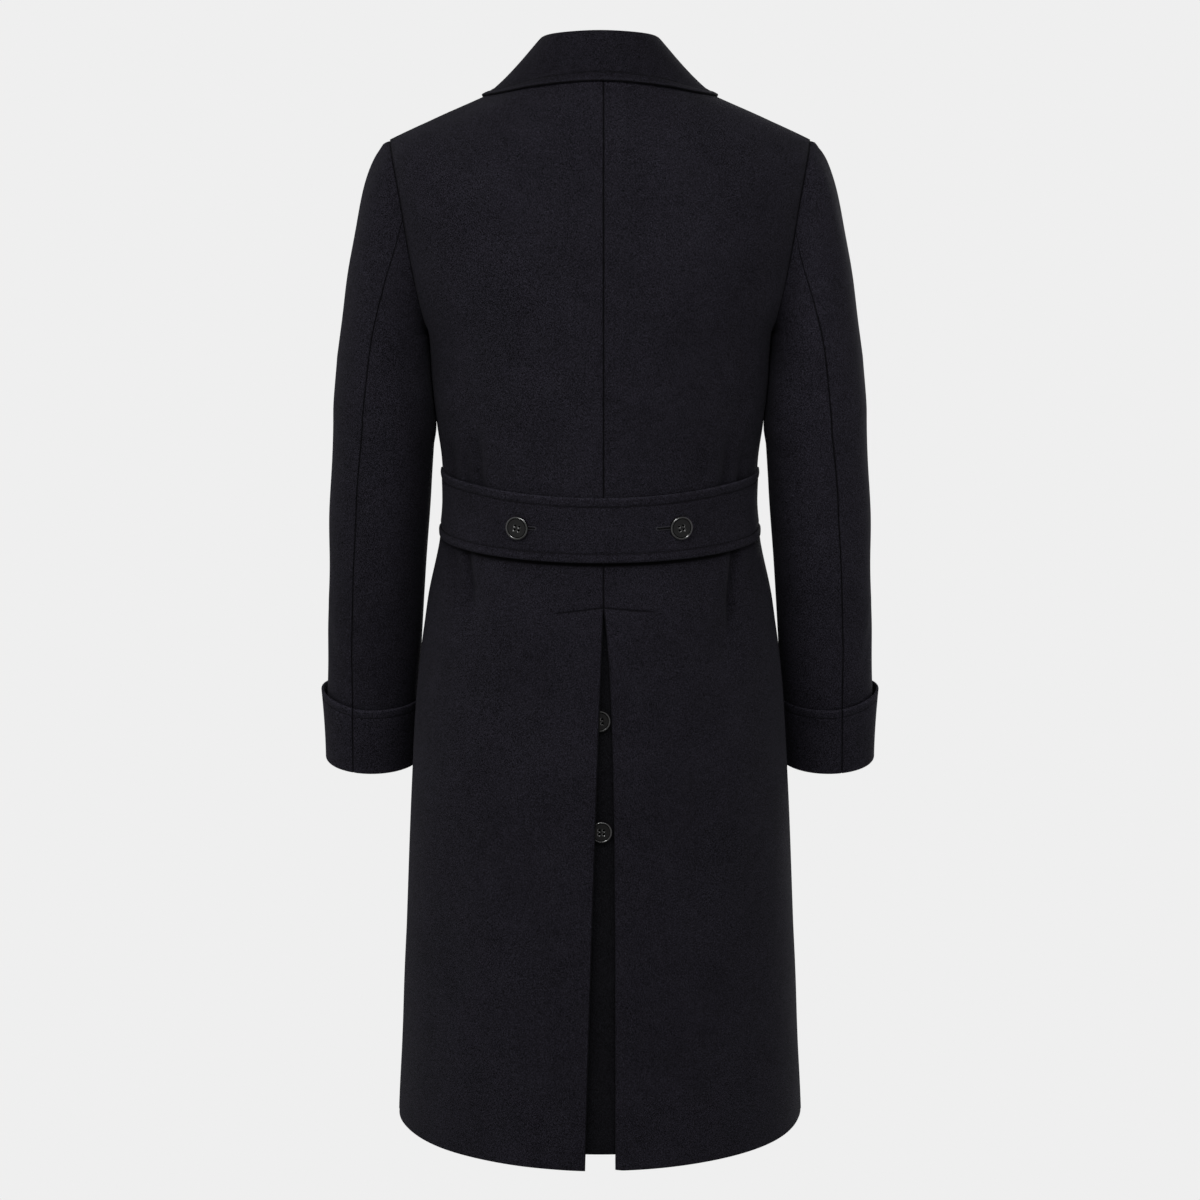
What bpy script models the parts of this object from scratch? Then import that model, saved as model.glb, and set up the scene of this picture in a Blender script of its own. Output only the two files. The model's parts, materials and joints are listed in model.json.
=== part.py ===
"""A double-breasted polo coat, filled out as if worn: the pieces a coat maker cuts and sews.

Metres, +Z up. The front faces -Y and the wearer's left is +X. The origin lies midway between the
neck ends of the two shoulder seams, where the wearer's shoulders carry the coat.
"""

import math
from collections import namedtuple

import bmesh
import bpy
import numpy as np
from mathutils import Matrix, Vector

# Cloth thicknesses, and the spaces between pieces
WALL = 0.0024
BELT_WALL = 0.0034
CUFF_WALL = 0.0028
COLLAR_WALL = 0.0026
LAPEL_WALL = 0.0026
SEAM_GAP = 0.0003
LAY_GAP = 0.0008
SHARPEST_MITRE = 0.42

# How finely the cloth is divided
ROW_PITCH = 0.075
ARMHOLE_ROWS = 10
SHOULDER_ROWS = 4
BACK_COLUMNS = 12
FRONT_COLUMNS = 11
CAP_ROWS = 6
SLEEVE_ROWS = 9
CUFF_ROWS = 3
COLLAR_COLUMNS = 26
FALL_ROWS = 6
STAND_ROWS = 2
LAPEL_ROWS = 11
LAPEL_COLUMNS = 5
BELT_COLUMNS = 26
BELT_ROWS = 2
UNDERLAP_COLUMNS = 5
UNDERLAP_ROWS = 12
LINE_SAMPLES = 60
BUTTON_SIDES = 20
CLOUD_SKIRT_ROWS = 90
CLOUD_ARMHOLE_ROWS = 45
CLOUD_SHOULDER_ROWS = 32
SLOPE_STEP = 0.004
RIM_DECIMALS = 5

# Torso: a row of cloth runs round the body at each height, from the centre back to the side edge
# and on to the centre front. ROUNDNESS 0.55 would make each row an ellipse.
ROUNDNESS = 0.562
Section = namedtuple("Section", "height half_width side_y")
SECTIONS = (
    Section(-1.180, 0.2275, 0.000),
    Section(-0.990, 0.2188, -0.002),
    Section(-0.790, 0.2103, -0.004),
    Section(-0.690, 0.2040, -0.006),
    Section(-0.590, 0.1912, -0.008),
    Section(-0.522, 0.1765, -0.010),
    Section(-0.476, 0.1708, -0.010),
    Section(-0.430, 0.1728, -0.009),
    Section(-0.390, 0.1790, -0.006),
    Section(-0.340, 0.1848, -0.002),
    Section(-0.288, 0.1875, 0.000),
)
Centre = namedtuple("Centre", "height y")
CENTRE_BACK = (
    Centre(-1.180, 0.216),
    Centre(-0.990, 0.204),
    Centre(-0.790, 0.190),
    Centre(-0.690, 0.180),
    Centre(-0.590, 0.167),
    Centre(-0.522, 0.158),
    Centre(-0.476, 0.155),
    Centre(-0.390, 0.154),
    Centre(-0.288, 0.155),
    Centre(-0.200, 0.152),
    Centre(-0.138, 0.142),
    Centre(-0.088, 0.128),
    Centre(-0.035, 0.104),
    Centre(0.018, 0.071),
)
CENTRE_FRONT = (
    Centre(-1.180, -0.190),
    Centre(-0.790, -0.174),
    Centre(-0.590, -0.160),
    Centre(-0.476, -0.150),
    Centre(-0.288, -0.148),
    Centre(-0.205, -0.143),
    Centre(-0.130, -0.120),
    Centre(-0.070, -0.080),
)

# Armhole, from the underarm up to the shoulder point: the two edges of the loop, the height at which
# each row crosses the centre lines, and the angle by which the row has turned inward at the edge
ArmholeRow = namedtuple(
    "ArmholeRow",
    "share back_height front_height back_x back_y back_z back_turn front_x front_y front_z front_turn",
)
ARMHOLE = (
    ArmholeRow(0.00, -0.288, -0.288, 0.1875, 0.000, -0.288, 0, 0.1875, 0.000, -0.288, 0),
    ArmholeRow(0.16, -0.259, -0.266, 0.1915, 0.037, -0.270, 7, 0.1860, -0.038, -0.268, 8),
    ArmholeRow(0.34, -0.227, -0.241, 0.2000, 0.056, -0.230, 15, 0.1880, -0.061, -0.226, 20),
    ArmholeRow(0.52, -0.194, -0.214, 0.2085, 0.061, -0.183, 21, 0.1945, -0.067, -0.176, 30),
    ArmholeRow(0.69, -0.163, -0.184, 0.2165, 0.055, -0.134, 23, 0.2060, -0.060, -0.126, 33),
    ArmholeRow(0.85, -0.134, -0.154, 0.2245, 0.034, -0.0945, 21, 0.2210, -0.038, -0.093, 33),
    ArmholeRow(1.00, -0.106, -0.122, 0.2290, -0.006, -0.0775, 17, 0.2290, -0.006, -0.0775, 29),
)
SHOULDER_SLOPE = 0.5
RISE_START = -0.150
RISE_FULL = -0.080
NECK_POINT = (0.078, 0.000, 0.000)
SHOULDER_SAG = 0.0045
SHOULDER_SAG_BIAS = 2.4
NECK_BACK_HEIGHT = 0.018
NECK_FRONT_HEIGHT = -0.070

# Centre back seam and vent: the vent opens from its top to the hem, its left edge evenly, its right
# edge mostly near the top
SEAM_X = -0.003
VENT_TOP = -0.564
LEFT_VENT_OPENING = 0.0195
LEFT_VENT_BOW = 0.85
RIGHT_VENT_OPENING = 0.0150
RIGHT_VENT_BOW = 0.45
UNDERLAP_HALF_WIDTH = 0.055
UNDERLAP_TOP = -0.570
UNDERLAP_HEM = -1.165
UNDERLAP_DEPTH = 0.0086

# Soft folds where the half belt draws in the waist: troughs down the back panels
Fold = namedtuple("Fold", "x top bottom half_width depth")
FOLDS = (
    Fold(0.136, -0.300, -0.437, 0.015, 0.0045),
    Fold(-0.142, -0.320, -0.437, 0.015, 0.0040),
    Fold(0.138, -0.518, -0.640, 0.016, 0.0045),
    Fold(-0.140, -0.518, -0.670, 0.016, 0.0055),
)
FOLD_FADE = 0.35

# Front: the left front laps over the right one, and rolls open into lapels above the break
OVERLAP = 0.090
BREAK_HEIGHT = -0.335
ROLL_TOP_X = 0.0665
ROLL_TOP_HEIGHT = -0.022
LIFT_FULL_X = 0.098
LIFT_END_X = 0.140
OVER_LIFT = 0.0038
LAPEL_LIFT = 0.0042
LAPEL_LIFT_START = -0.372
LIFT_FADE_START = -0.140
LIFT_FADE_END = -0.080
LAPEL_GAP = 0.0020
LAPEL_START = 0.04
GORGE_SHARE = 0.895
LAPEL_TIP_X = 0.137
LAPEL_TIP_HEIGHT = -0.118
LAPEL_BELLY = 0.010

# Collar, from the centre back round to one front end: the fold line, and where the fall's edge lies on
# the shoulders. SHARE is how far up the shoulder seam a row starts, 0 at the shoulder point and 1 at the
# neck. AROUND is 0 at the centre back, 1 at the shoulder seam and 2 at the centre front.
CollarStation = namedtuple(
    "CollarStation",
    "along fold_x fold_y fold_z share around spread drop notch",
)
COLLAR = (
    CollarStation(0.00, 0.0000, 0.0630, 0.0510, 0.812, 0.00, 0.012, 0.002, 0.0),
    CollarStation(0.30, 0.0400, 0.0540, 0.0475, 0.758, 0.50, 0.011, 0.004, 0.0),
    CollarStation(0.55, 0.0625, 0.0140, 0.0355, 0.690, 1.00, 0.009, 0.009, 0.0),
    CollarStation(0.74, 0.0675, -0.0220, 0.0125, 0.590, 1.22, 0.009, 0.006, 0.0),
    CollarStation(0.88, 0.0655, -0.0500, -0.0150, 0.535, 1.33, 0.010, 0.006, 0.001),
    CollarStation(1.00, 0.0540, -0.0790, -0.0515, 0.470, 1.45, 0.014, 0.006, 0.003),
)
SHOULDER_ALONG = 0.55
STAND_END = 0.846
FALL_CLEARANCE = 0.0044
FALL_REST = 0.46
FALL_FRONT_START = 0.70
STAND_RAISE = 0.0006
STAND_TUCK = 0.0090

# Sleeve: an armhole loop, then rings down the arm. Each ring's back is lowered by its pitch, and its
# columns are turned outward at the back by its twist. Each sleeve piece is in two lengths, which meet at
# the row of rings by the elbow.
SleeveRing = namedtuple("SleeveRing", "height x y half_width half_depth pitch twist")
SLEEVE = (
    SleeveRing(-0.315, 0.2385, 0.000, 0.0500, 0.0705, 0, 0),
    SleeveRing(-0.380, 0.2378, 0.000, 0.0560, 0.0675, 0, 5),
    SleeveRing(-0.460, 0.2420, -0.004, 0.0560, 0.0635, 2, 6),
    SleeveRing(-0.550, 0.2470, -0.017, 0.0540, 0.0600, 4, 6),
    SleeveRing(-0.640, 0.2518, -0.040, 0.0526, 0.0565, 6, 6),
    SleeveRing(-0.715, 0.2552, -0.060, 0.0514, 0.0545, 7, 6),
    SleeveRing(-0.782, 0.2568, -0.077, 0.0507, 0.0530, 7, 6),
)
CAP_LEAD_TOP = 0.030
CAP_LEAD_UNDER = 0.004
CAP_LEAD_POWER = 1.6
CAP_LIFT = 0.45
CAP_SLOPE = 0.14
ARMHOLE_SLANT = -0.2
BACK_SEAM_COLUMN = 4
FRONT_SEAM_COLUMN = 13
ELBOW_ROW = 9

# Turned-back cuff: taller and standing off on the outer side of the arm
CUFF_HEIGHT = 0.0735
CUFF_RISE = 0.0055
CUFF_FLARE = 0.0032
CUFF_FLARE_POWER = 1.5
CUFF_DROP = 0.0010

# Half belt across the back of the waist
BELT_TOP = -0.4420
BELT_BOTTOM = -0.5138
BELT_END_INSET = 0.006

# Buttons
BUTTON_RADIUS = 0.0127
FRONT_BUTTON_RADIUS = 0.0140
BUTTON_HEIGHT = 0.0042
BUTTON_BEVEL = 0.0010
BUTTON_RIM = 0.0026
BUTTON_DISH = 0.0012
BUTTON_GAP = 0.0010
CAP_FACING = 0.99
BELT_BUTTON_X = 0.0858
BELT_BUTTON_HEIGHT = -0.4780
VENT_BUTTON_X = -0.0032
VENT_BUTTON_HEIGHTS = (-0.685, -0.8055)
FRONT_BUTTON_X = 0.062
FRONT_BUTTON_HEIGHTS = (-0.392, -0.506, -0.620)

WOOL = (0.0100, 0.0095, 0.0130, 1.0)
WOOL_ROUGHNESS = 0.9
HORN = (0.0200, 0.0200, 0.0220, 1.0)
HORN_ROUGHNESS = 0.35

Row = namedtuple("Row", "back_centre back_edge back_turn front_centre front_edge front_turn")
Cloud = namedtuple("Cloud", "points normals")


def column(table, *names):
    """The named columns of a table, as an array with a row for each row of the table."""
    return np.array([[getattr(entry, name) for name in names] for entry in table], float)


def smooth(knots, values, at):
    """A cubic curve through the knots that never swings past them, read at one place."""
    knots = np.asarray(knots, float).ravel()
    steps = np.diff(knots)[:, None]
    slopes = np.diff(values, axis=0) / steps
    before, after = slopes[:-1], slopes[1:]
    same = before * after > 0
    first, second = 2 * steps[1:] + steps[:-1], steps[1:] + 2 * steps[:-1]
    inner = (first + second) / (first / np.where(same, before, 1) + second / np.where(same, after, 1))
    tangents = np.vstack([slopes[:1], np.where(same, inner, 0), slopes[-1:]])
    at = min(max(at, knots[0]), knots[-1])
    index = min(max(int(np.searchsorted(knots, at, side="right")) - 1, 0), len(knots) - 2)
    step = knots[index + 1] - knots[index]
    t = (at - knots[index]) / step
    rise = values[index] * (1 + 2 * t) * (1 - t) ** 2 + values[index + 1] * t * t * (3 - 2 * t)
    bend = tangents[index] * t * (1 - t) ** 2 - tangents[index + 1] * t * t * (1 - t)
    return rise + step * bend


def ease(start, end, at):
    """0 before start, 1 after end, with a soft change between."""
    t = np.clip((at - start) / (end - start), 0, 1)
    return t * t * (3 - 2 * t)


def unit(vectors):
    return vectors / np.linalg.norm(vectors, axis=-1, keepdims=True)


def bezier(start, leave, arrive, end, shares):
    t = np.asarray(shares, float).reshape(-1, 1)
    return (1 - t) ** 3 * start + 3 * (1 - t) ** 2 * t * leave + 3 * (1 - t) * t * t * arrive + t**3 * end


def mirrored(points):
    return points * np.array([-1.0, 1.0, 1.0])


# Torso rows


def centre_point(table, height):
    y = smooth(column(table, "height"), column(table, "y"), height)[0]
    return np.array([0.0, y, height])


def skirt_row(height):
    """A row below the armpit, where back and front meet at the side seam."""
    half_width, side_y = smooth(column(SECTIONS, "height"), column(SECTIONS, "half_width", "side_y"), height)
    edge = np.array([half_width, side_y, height])
    return Row(centre_point(CENTRE_BACK, height), edge, 0, centre_point(CENTRE_FRONT, height), edge, 0)


def armhole_row(share):
    """A row that ends at the armhole. Share is 0 at the underarm and 1 at the shoulder point."""
    values = smooth(column(ARMHOLE, "share"), column(ARMHOLE, *ArmholeRow._fields), share)
    row = ArmholeRow(*values)
    back_edge = np.array([row.back_x, row.back_y, row.back_z])
    front_edge = np.array([row.front_x, row.front_y, row.front_z])
    back_centre = centre_point(CENTRE_BACK, row.back_height)
    front_centre = centre_point(CENTRE_FRONT, row.front_height)
    return Row(back_centre, back_edge, row.back_turn, front_centre, front_edge, row.front_turn)


def shoulder_row(share):
    """A row that ends at the shoulder seam. Share is 0 at the shoulder point and 1 at the neck."""
    start = ARMHOLE[-1]
    corner = np.array([start.back_x, start.back_y, start.back_z])
    sag = SHOULDER_SAG * math.sin(math.pi * share**SHOULDER_SAG_BIAS)
    edge = corner + share * (np.array(NECK_POINT) - corner) - np.array([0, 0, sag])
    back_height = start.back_height + share * (NECK_BACK_HEIGHT - start.back_height)
    front_height = start.front_height + share * (NECK_FRONT_HEIGHT - start.front_height)
    back_centre = centre_point(CENTRE_BACK, back_height)
    front_centre = centre_point(CENTRE_FRONT, front_height)
    back_turn = start.back_turn * (1 - share)
    front_turn = start.front_turn * (1 - share)
    return Row(back_centre, edge, back_turn, front_centre, edge, front_turn)


def row_line(centre, edge, turn):
    """Points from the right edge through the centre to the left edge of a row of the back or the front."""
    angle = math.radians(turn)
    reach = ROUNDNESS * (centre[1] - edge[1]) / math.cos(angle)
    inward = math.sin(angle) * abs(reach)
    rise = SHOULDER_SLOPE * inward * ease(RISE_START, RISE_FULL, edge[2])
    leave = centre + np.array([ROUNDNESS * edge[0], 0, 0])
    arrive = edge + np.array([-inward, math.cos(angle) * reach, rise])
    left = bezier(centre, leave, arrive, edge, np.linspace(0, 1, LINE_SAMPLES))
    return np.vstack([mirrored(left[:0:-1]), left])


def back_line(row):
    return row_line(row.back_centre, row.back_edge, row.back_turn)


def front_line(row):
    return row_line(row.front_centre, row.front_edge, row.front_turn)


def lengths_of(line):
    steps = np.linalg.norm(np.diff(line, axis=0), axis=1)
    return np.concatenate([[0], np.cumsum(steps)])


def at_lengths(line, wanted):
    lengths = lengths_of(line)
    return np.stack([np.interp(wanted, lengths, line[:, axis]) for axis in range(3)], axis=-1)


def even_points(line, start, end, count):
    return at_lengths(line, np.linspace(start, end, count + 1))


def skirt_heights():
    """Heights of the rows from the hem to the armpit: the sections, with even rows between."""
    heights = [SECTIONS[0].height]
    for low, high in zip(SECTIONS, SECTIONS[1:]):
        count = math.ceil((high.height - low.height) / ROW_PITCH)
        heights += list(np.linspace(low.height, high.height, count + 1)[1:])
    return heights


def torso_rows():
    """Every row from the hem to the neck."""
    rows = [skirt_row(height) for height in skirt_heights()]
    rows += [armhole_row(step / ARMHOLE_ROWS) for step in range(1, ARMHOLE_ROWS + 1)]
    rows += [shoulder_row(step / SHOULDER_ROWS) for step in range(1, SHOULDER_ROWS + 1)]
    return rows


def first_armhole_row():
    return len(skirt_heights()) - 1


# Grids of points, their outward directions and their walls


def grid_normals(points, outward, closed=False):
    """Unit directions square to a grid of points, on the side that OUTWARD points to."""
    if closed:
        wrapped = np.concatenate([points[:, -1:], points, points[:, :1]], axis=1)
        across = wrapped[:, 2:] - wrapped[:, :-2]
    else:
        across = np.gradient(points, axis=1)
    along = np.gradient(points, axis=0)
    normals = unit(np.cross(across, along))
    return normals if np.sum(normals * outward) > 0 else -normals


def mitre(first, second):
    """Directions halfway between two sets, longer where they differ so both walls keep their thickness."""
    middle = unit(first + second)
    share = np.sum(middle * first, axis=-1, keepdims=True)
    return middle / np.maximum(share, SHARPEST_MITRE)


def drawn_in(points, sides):
    """The grid with its sewn sides moved in by half a seam gap. A side is an axis and an end, 0 or -1."""
    points = points.copy()
    for axis, end in sides:
        grid = np.moveaxis(points, axis, 0)
        inner = 1 if end == 0 else -2
        grid[end] += unit(grid[inner] - grid[end]) * SEAM_GAP / 2
    return points


def make_material(name, colour, roughness):
    material = bpy.data.materials.new(name)
    material.use_nodes = True
    shader = material.node_tree.nodes["Principled BSDF"]
    shader.inputs["Base Color"].default_value = colour
    shader.inputs["Roughness"].default_value = roughness
    return material


def make_object(name, mesh, colour, roughness):
    mesh.materials.append(make_material(name, colour, roughness))
    made = bpy.data.objects.new(name, mesh)
    bpy.context.scene.collection.objects.link(made)
    return made


def make_wall(name, outer, directions, thickness):
    """A sheet of cloth: the grid outside, a copy of it moved inward, and rims that close the four sides."""
    inner = outer - directions * thickness
    flat = outer.reshape(-1, 3)
    rows, columns = outer.shape[:2]
    index = np.arange(rows * columns).reshape(rows, columns)
    shift = rows * columns
    corners = np.stack([index[:-1, :-1], index[:-1, 1:], index[1:, 1:], index[1:, :-1]], axis=-1)
    faces = corners.reshape(-1, 4).tolist()
    faces += (corners[..., ::-1] + shift).reshape(-1, 4).tolist()
    rim = np.concatenate([index[0, :-1], index[:-1, -1], index[-1, :0:-1], index[:0:-1, 0]])
    for here, there in zip(rim.tolist(), np.roll(rim, -1).tolist()):
        low, high = sorted((here, there), key=lambda at: (round(flat[at, 2], RIM_DECIMALS), flat[at, 0]))
        faces += [[low, high, high + shift], [low, high + shift, low + shift]]
    mesh = bpy.data.meshes.new(name)
    mesh.from_pydata(np.vstack([flat, inner.reshape(-1, 3)]).tolist(), [], faces)
    shape = bmesh.new()
    shape.from_mesh(mesh)
    bmesh.ops.recalc_face_normals(shape, faces=shape.faces)
    shape.to_mesh(mesh)
    shape.free()
    return make_object(name, mesh, WOOL, WOOL_ROUGHNESS)


# Body panels


def seam_x(height, side):
    """Where the back panel of one side ends at the centre back: the seam, then the edge of the vent."""
    share = float(np.clip((VENT_TOP - height) / (VENT_TOP - SECTIONS[0].height), 0, 1))
    if side > 0:
        return SEAM_X + LEFT_VENT_OPENING * share**LEFT_VENT_BOW
    return SEAM_X - RIGHT_VENT_OPENING * share**RIGHT_VENT_BOW


def back_points(rows, side):
    """A back panel, its columns running from the centre seam out to the edge."""
    grid = []
    for row in rows:
        line = back_line(row)
        lengths = lengths_of(line)
        start = np.interp(seam_x(row.back_centre[2], side), line[:, 0], lengths)
        end = lengths[-1] if side > 0 else 0.0
        grid.append(even_points(line, start, end, BACK_COLUMNS))
    return np.array(grid)


def folded(points, normals):
    """The back panel with its waist folds pressed in."""
    depth = np.zeros(points.shape[:2])
    for fold in FOLDS:
        middle = (fold.top + fold.bottom) / 2
        half_length = (fold.top - fold.bottom) / 2
        across = np.exp(-(((points[..., 0] - fold.x) / fold.half_width) ** 2))
        down = 1 - ease(FOLD_FADE, 1, np.abs(points[..., 2] - middle) / half_length)
        depth += fold.depth * across * down
    return points - normals * depth[..., None]


def roll_x(height):
    """Front edge of the left front: upright below the break, then the roll line up to the neck."""
    share = np.maximum((height - BREAK_HEIGHT) / (ROLL_TOP_HEIGHT - BREAK_HEIGHT), 0)
    return -OVERLAP + share * (ROLL_TOP_X + OVERLAP)


def front_points(rows):
    """The left front, its columns running from the front edge out to the side, before it is lifted."""
    grid = []
    for row in rows:
        line = front_line(row)
        lengths = lengths_of(line)
        start = np.interp(0, line[:, 0] - roll_x(line[:, 2]), lengths)
        grid.append(even_points(line, start, lengths[-1], FRONT_COLUMNS))
    return np.array(grid)


def front_lift(x, height):
    """How far the left front lies out over the right front, and over its lapel above the break."""
    over = OVER_LIFT + LAPEL_LIFT * ease(LAPEL_LIFT_START, BREAK_HEIGHT, height)
    below_neck = 1 - ease(LIFT_FADE_START, LIFT_FADE_END, height)
    return over * below_neck * (1 - ease(LIFT_FULL_X, LIFT_END_X, x))


def torso_cloud():
    """A dense set of points on the outside of the torso, with their directions, to lay other pieces on."""
    heights = np.linspace(SECTIONS[0].height, SECTIONS[-1].height, CLOUD_SKIRT_ROWS)
    fine_rows = [skirt_row(height) for height in heights]
    fine_rows += [armhole_row(share) for share in np.linspace(0, 1, CLOUD_ARMHOLE_ROWS + 1)[1:]]
    fine_rows += [shoulder_row(share) for share in np.linspace(0, 1, CLOUD_SHOULDER_ROWS + 1)[1:]]
    back = np.array([back_line(row) for row in fine_rows])
    front = np.array([front_line(row) for row in fine_rows])
    outward = np.array([0.0, 1.0, 0.0])
    points = np.concatenate([back.reshape(-1, 3), front.reshape(-1, 3)])
    normals = np.concatenate(
        [grid_normals(back, outward).reshape(-1, 3), grid_normals(front, -outward).reshape(-1, 3)]
    )
    return Cloud(points, normals)


def pushed_out(points, cloud, clearance):
    """The points, with any that come nearer to the torso than the clearance moved out along its direction."""
    flat = points.reshape(-1, 3).copy()
    for number, point in enumerate(flat):
        nearest = np.argmin(np.sum((cloud.points - point) ** 2, axis=1))
        height = np.dot(point - cloud.points[nearest], cloud.normals[nearest])
        if height < clearance:
            flat[number] += cloud.normals[nearest] * (clearance - height)
    return flat.reshape(points.shape)


def surface_at(lines, x, height, facing):
    """The point of a face of the torso at one x and height, and its outward direction."""

    def depth(at_x, at_height):
        heights = [np.interp(at_x, line[:, 0], line[:, 2]) for line in lines]
        depths = [np.interp(at_x, line[:, 0], line[:, 1]) for line in lines]
        return np.interp(at_height, heights, depths)

    slope_x = (depth(x + SLOPE_STEP, height) - depth(x - SLOPE_STEP, height)) / (2 * SLOPE_STEP)
    slope_z = (depth(x, height + SLOPE_STEP) - depth(x, height - SLOPE_STEP)) / (2 * SLOPE_STEP)
    normal = facing * np.array([-slope_x, 1.0, -slope_z])
    return np.array([x, depth(x, height), height]), unit(normal)


# Sleeves


def armhole_loop():
    """The left armhole's edge: from the shoulder point down the back to the underarm, and up the front."""
    rows = [armhole_row(step / ARMHOLE_ROWS) for step in range(ARMHOLE_ROWS + 1)]
    back = [row.back_edge for row in rows[::-1]]
    front = [row.front_edge for row in rows[1:-1]]
    return np.array(back + front)


def sleeve_angles():
    """Angle of each sleeve column: 0 outside the arm, 90 at its back, 180 inside, in radians."""
    return np.arange(2 * ARMHOLE_ROWS) * math.pi / ARMHOLE_ROWS


def sleeve_point(height, angle):
    """A point of the left sleeve below its cap."""
    upward = SLEEVE[::-1]
    ring = SleeveRing(*smooth(column(upward, "height"), column(upward, *SleeveRing._fields), height))
    turned = angle - math.radians(ring.twist) * math.sin(angle)
    back = ring.half_depth * math.sin(turned)
    lean = math.radians(ring.pitch)
    offset = np.array([ring.half_width * math.cos(turned), back * math.cos(lean), -back * math.sin(lean)])
    return np.array([ring.x, ring.y, height]) + offset


def sleeve_points():
    """The left sleeve as rows of rings, from the armhole to the wrist."""
    loop = armhole_loop()
    angles = sleeve_angles()
    top = np.array([sleeve_point(SLEEVE[0].height, angle) for angle in angles])
    outside = (1 + np.cos(angles)[:, None]) / 2
    lead = CAP_LEAD_UNDER + (CAP_LEAD_TOP - CAP_LEAD_UNDER) * outside**CAP_LEAD_POWER
    leave = loop + lead * unit(np.array([1.0, 0.0, ARMHOLE_SLANT]))
    lift = CAP_LIFT * (loop[:, 2:] - top[:, 2:])
    arrive = top + np.hstack([-CAP_SLOPE * outside * lift, np.zeros_like(lift), lift])
    rings = [bezier(loop, leave, arrive, top, [step / CAP_ROWS] * len(loop)) for step in range(CAP_ROWS)]
    for height in np.linspace(SLEEVE[0].height, SLEEVE[-1].height, SLEEVE_ROWS + 1):
        rings.append(np.array([sleeve_point(height, angle) for angle in angles]))
    return np.array(rings)


def ring_normals(rings):
    middles = rings.mean(axis=1, keepdims=True)
    return grid_normals(rings, rings - middles, closed=True)


def ring_slice(rings, start, count):
    """COUNT columns of closed rings, from START on, and one more to end them."""
    return rings[:, [(start + step) % rings.shape[1] for step in range(count + 1)]]


def cuff_points():
    """The outside of the left cuff, from the wrist edge up to its standing edge."""
    rings = []
    angles = sleeve_angles()
    for share in np.linspace(0, 1, CUFF_ROWS + 1):
        outside = np.maximum(np.cos(angles), 0) ** CUFF_FLARE_POWER
        heights = SLEEVE[-1].height - CUFF_DROP + share * (CUFF_HEIGHT + CUFF_RISE * outside)
        base = np.array([sleeve_point(height, angle) for height, angle in zip(heights, angles)])
        base[:, 2] += np.minimum(heights - SLEEVE[-1].height, 0)
        centre = base.mean(axis=0)
        away = unit((base - centre) * np.array([1.0, 1.0, 0.0]))
        stand = LAY_GAP + CUFF_WALL + CUFF_FLARE * share**2 * outside
        rings.append(base + away * stand[:, None])
    return np.array(rings)


# Collar and lapels


def neckline():
    """The neck seam of one side: centre back to shoulder seam, then on to the top of the roll line."""
    row = shoulder_row(1.0)
    back = back_line(row)[LINE_SAMPLES - 1 :]
    front = front_line(row)
    lengths = lengths_of(front)
    end = np.interp(0, front[:, 0] - roll_x(front[:, 2]), lengths)
    return back, even_points(front, lengths[-1], end, LINE_SAMPLES)


def neck_point(along):
    back, front = neckline()
    if along <= SHOULDER_ALONG:
        return at_lengths(back, lengths_of(back)[-1] * along / SHOULDER_ALONG)
    share = min((along - SHOULDER_ALONG) / (STAND_END - SHOULDER_ALONG), 1)
    return at_lengths(front, lengths_of(front)[-1] * share)


def collar_section(along):
    """Fold point, edge point and the two handles of the fall at one place along the collar."""
    values = smooth(column(COLLAR, "along"), column(COLLAR, *CollarStation._fields), along)
    station = CollarStation(*values)
    row = shoulder_row(station.share)
    if station.around <= 1:
        line = back_line(row)[LINE_SAMPLES - 1 :]
        edge = at_lengths(line, lengths_of(line)[-1] * station.around)
    else:
        line = front_line(row)[: LINE_SAMPLES - 2 : -1]
        edge = at_lengths(line, lengths_of(line)[-1] * (station.around - 1))
    fold = np.array([station.fold_x, station.fold_y, station.fold_z])
    outward = unit((edge - fold) * np.array([1.0, 1.0, 0.0]))
    leave = fold + station.spread * outward + np.array([0, 0, -station.drop])
    front = ease(FALL_FRONT_START, 1.0, along)
    inside = neck_point(along) + front * (fold - neck_point(along))
    arrive = edge + FALL_REST * (inside - edge) + np.array([0, 0, -station.notch])
    return fold, leave, arrive, edge


def fall_points(cloud):
    """The outside of the collar's fall, from one front end round the back to the other, fold to edge."""
    left = []
    for along in np.linspace(0, 1, COLLAR_COLUMNS // 2 + 1):
        left.append(bezier(*collar_section(along), np.linspace(0, 1, FALL_ROWS + 1)))
    left = pushed_out(np.array(left), cloud, FALL_CLEARANCE)
    whole = np.concatenate([mirrored(left[:0:-1]), left])
    return np.swapaxes(whole, 0, 1)


def stand_points():
    """The side of the stand that faces the neck, from the neck seam up to the fold."""
    left = []
    for along in np.linspace(0, STAND_END, COLLAR_COLUMNS // 2 + 1):
        seam = neck_point(along) + np.array([0, 0, STAND_RAISE])
        fold = collar_section(along)[0] - np.array([0, 0, STAND_TUCK])
        left.append([seam + share * (fold - seam) for share in np.linspace(0, 1, STAND_ROWS + 1)])
    left = np.array(left)
    whole = np.concatenate([mirrored(left[:0:-1]), left])
    return np.swapaxes(whole, 0, 1)


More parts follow.
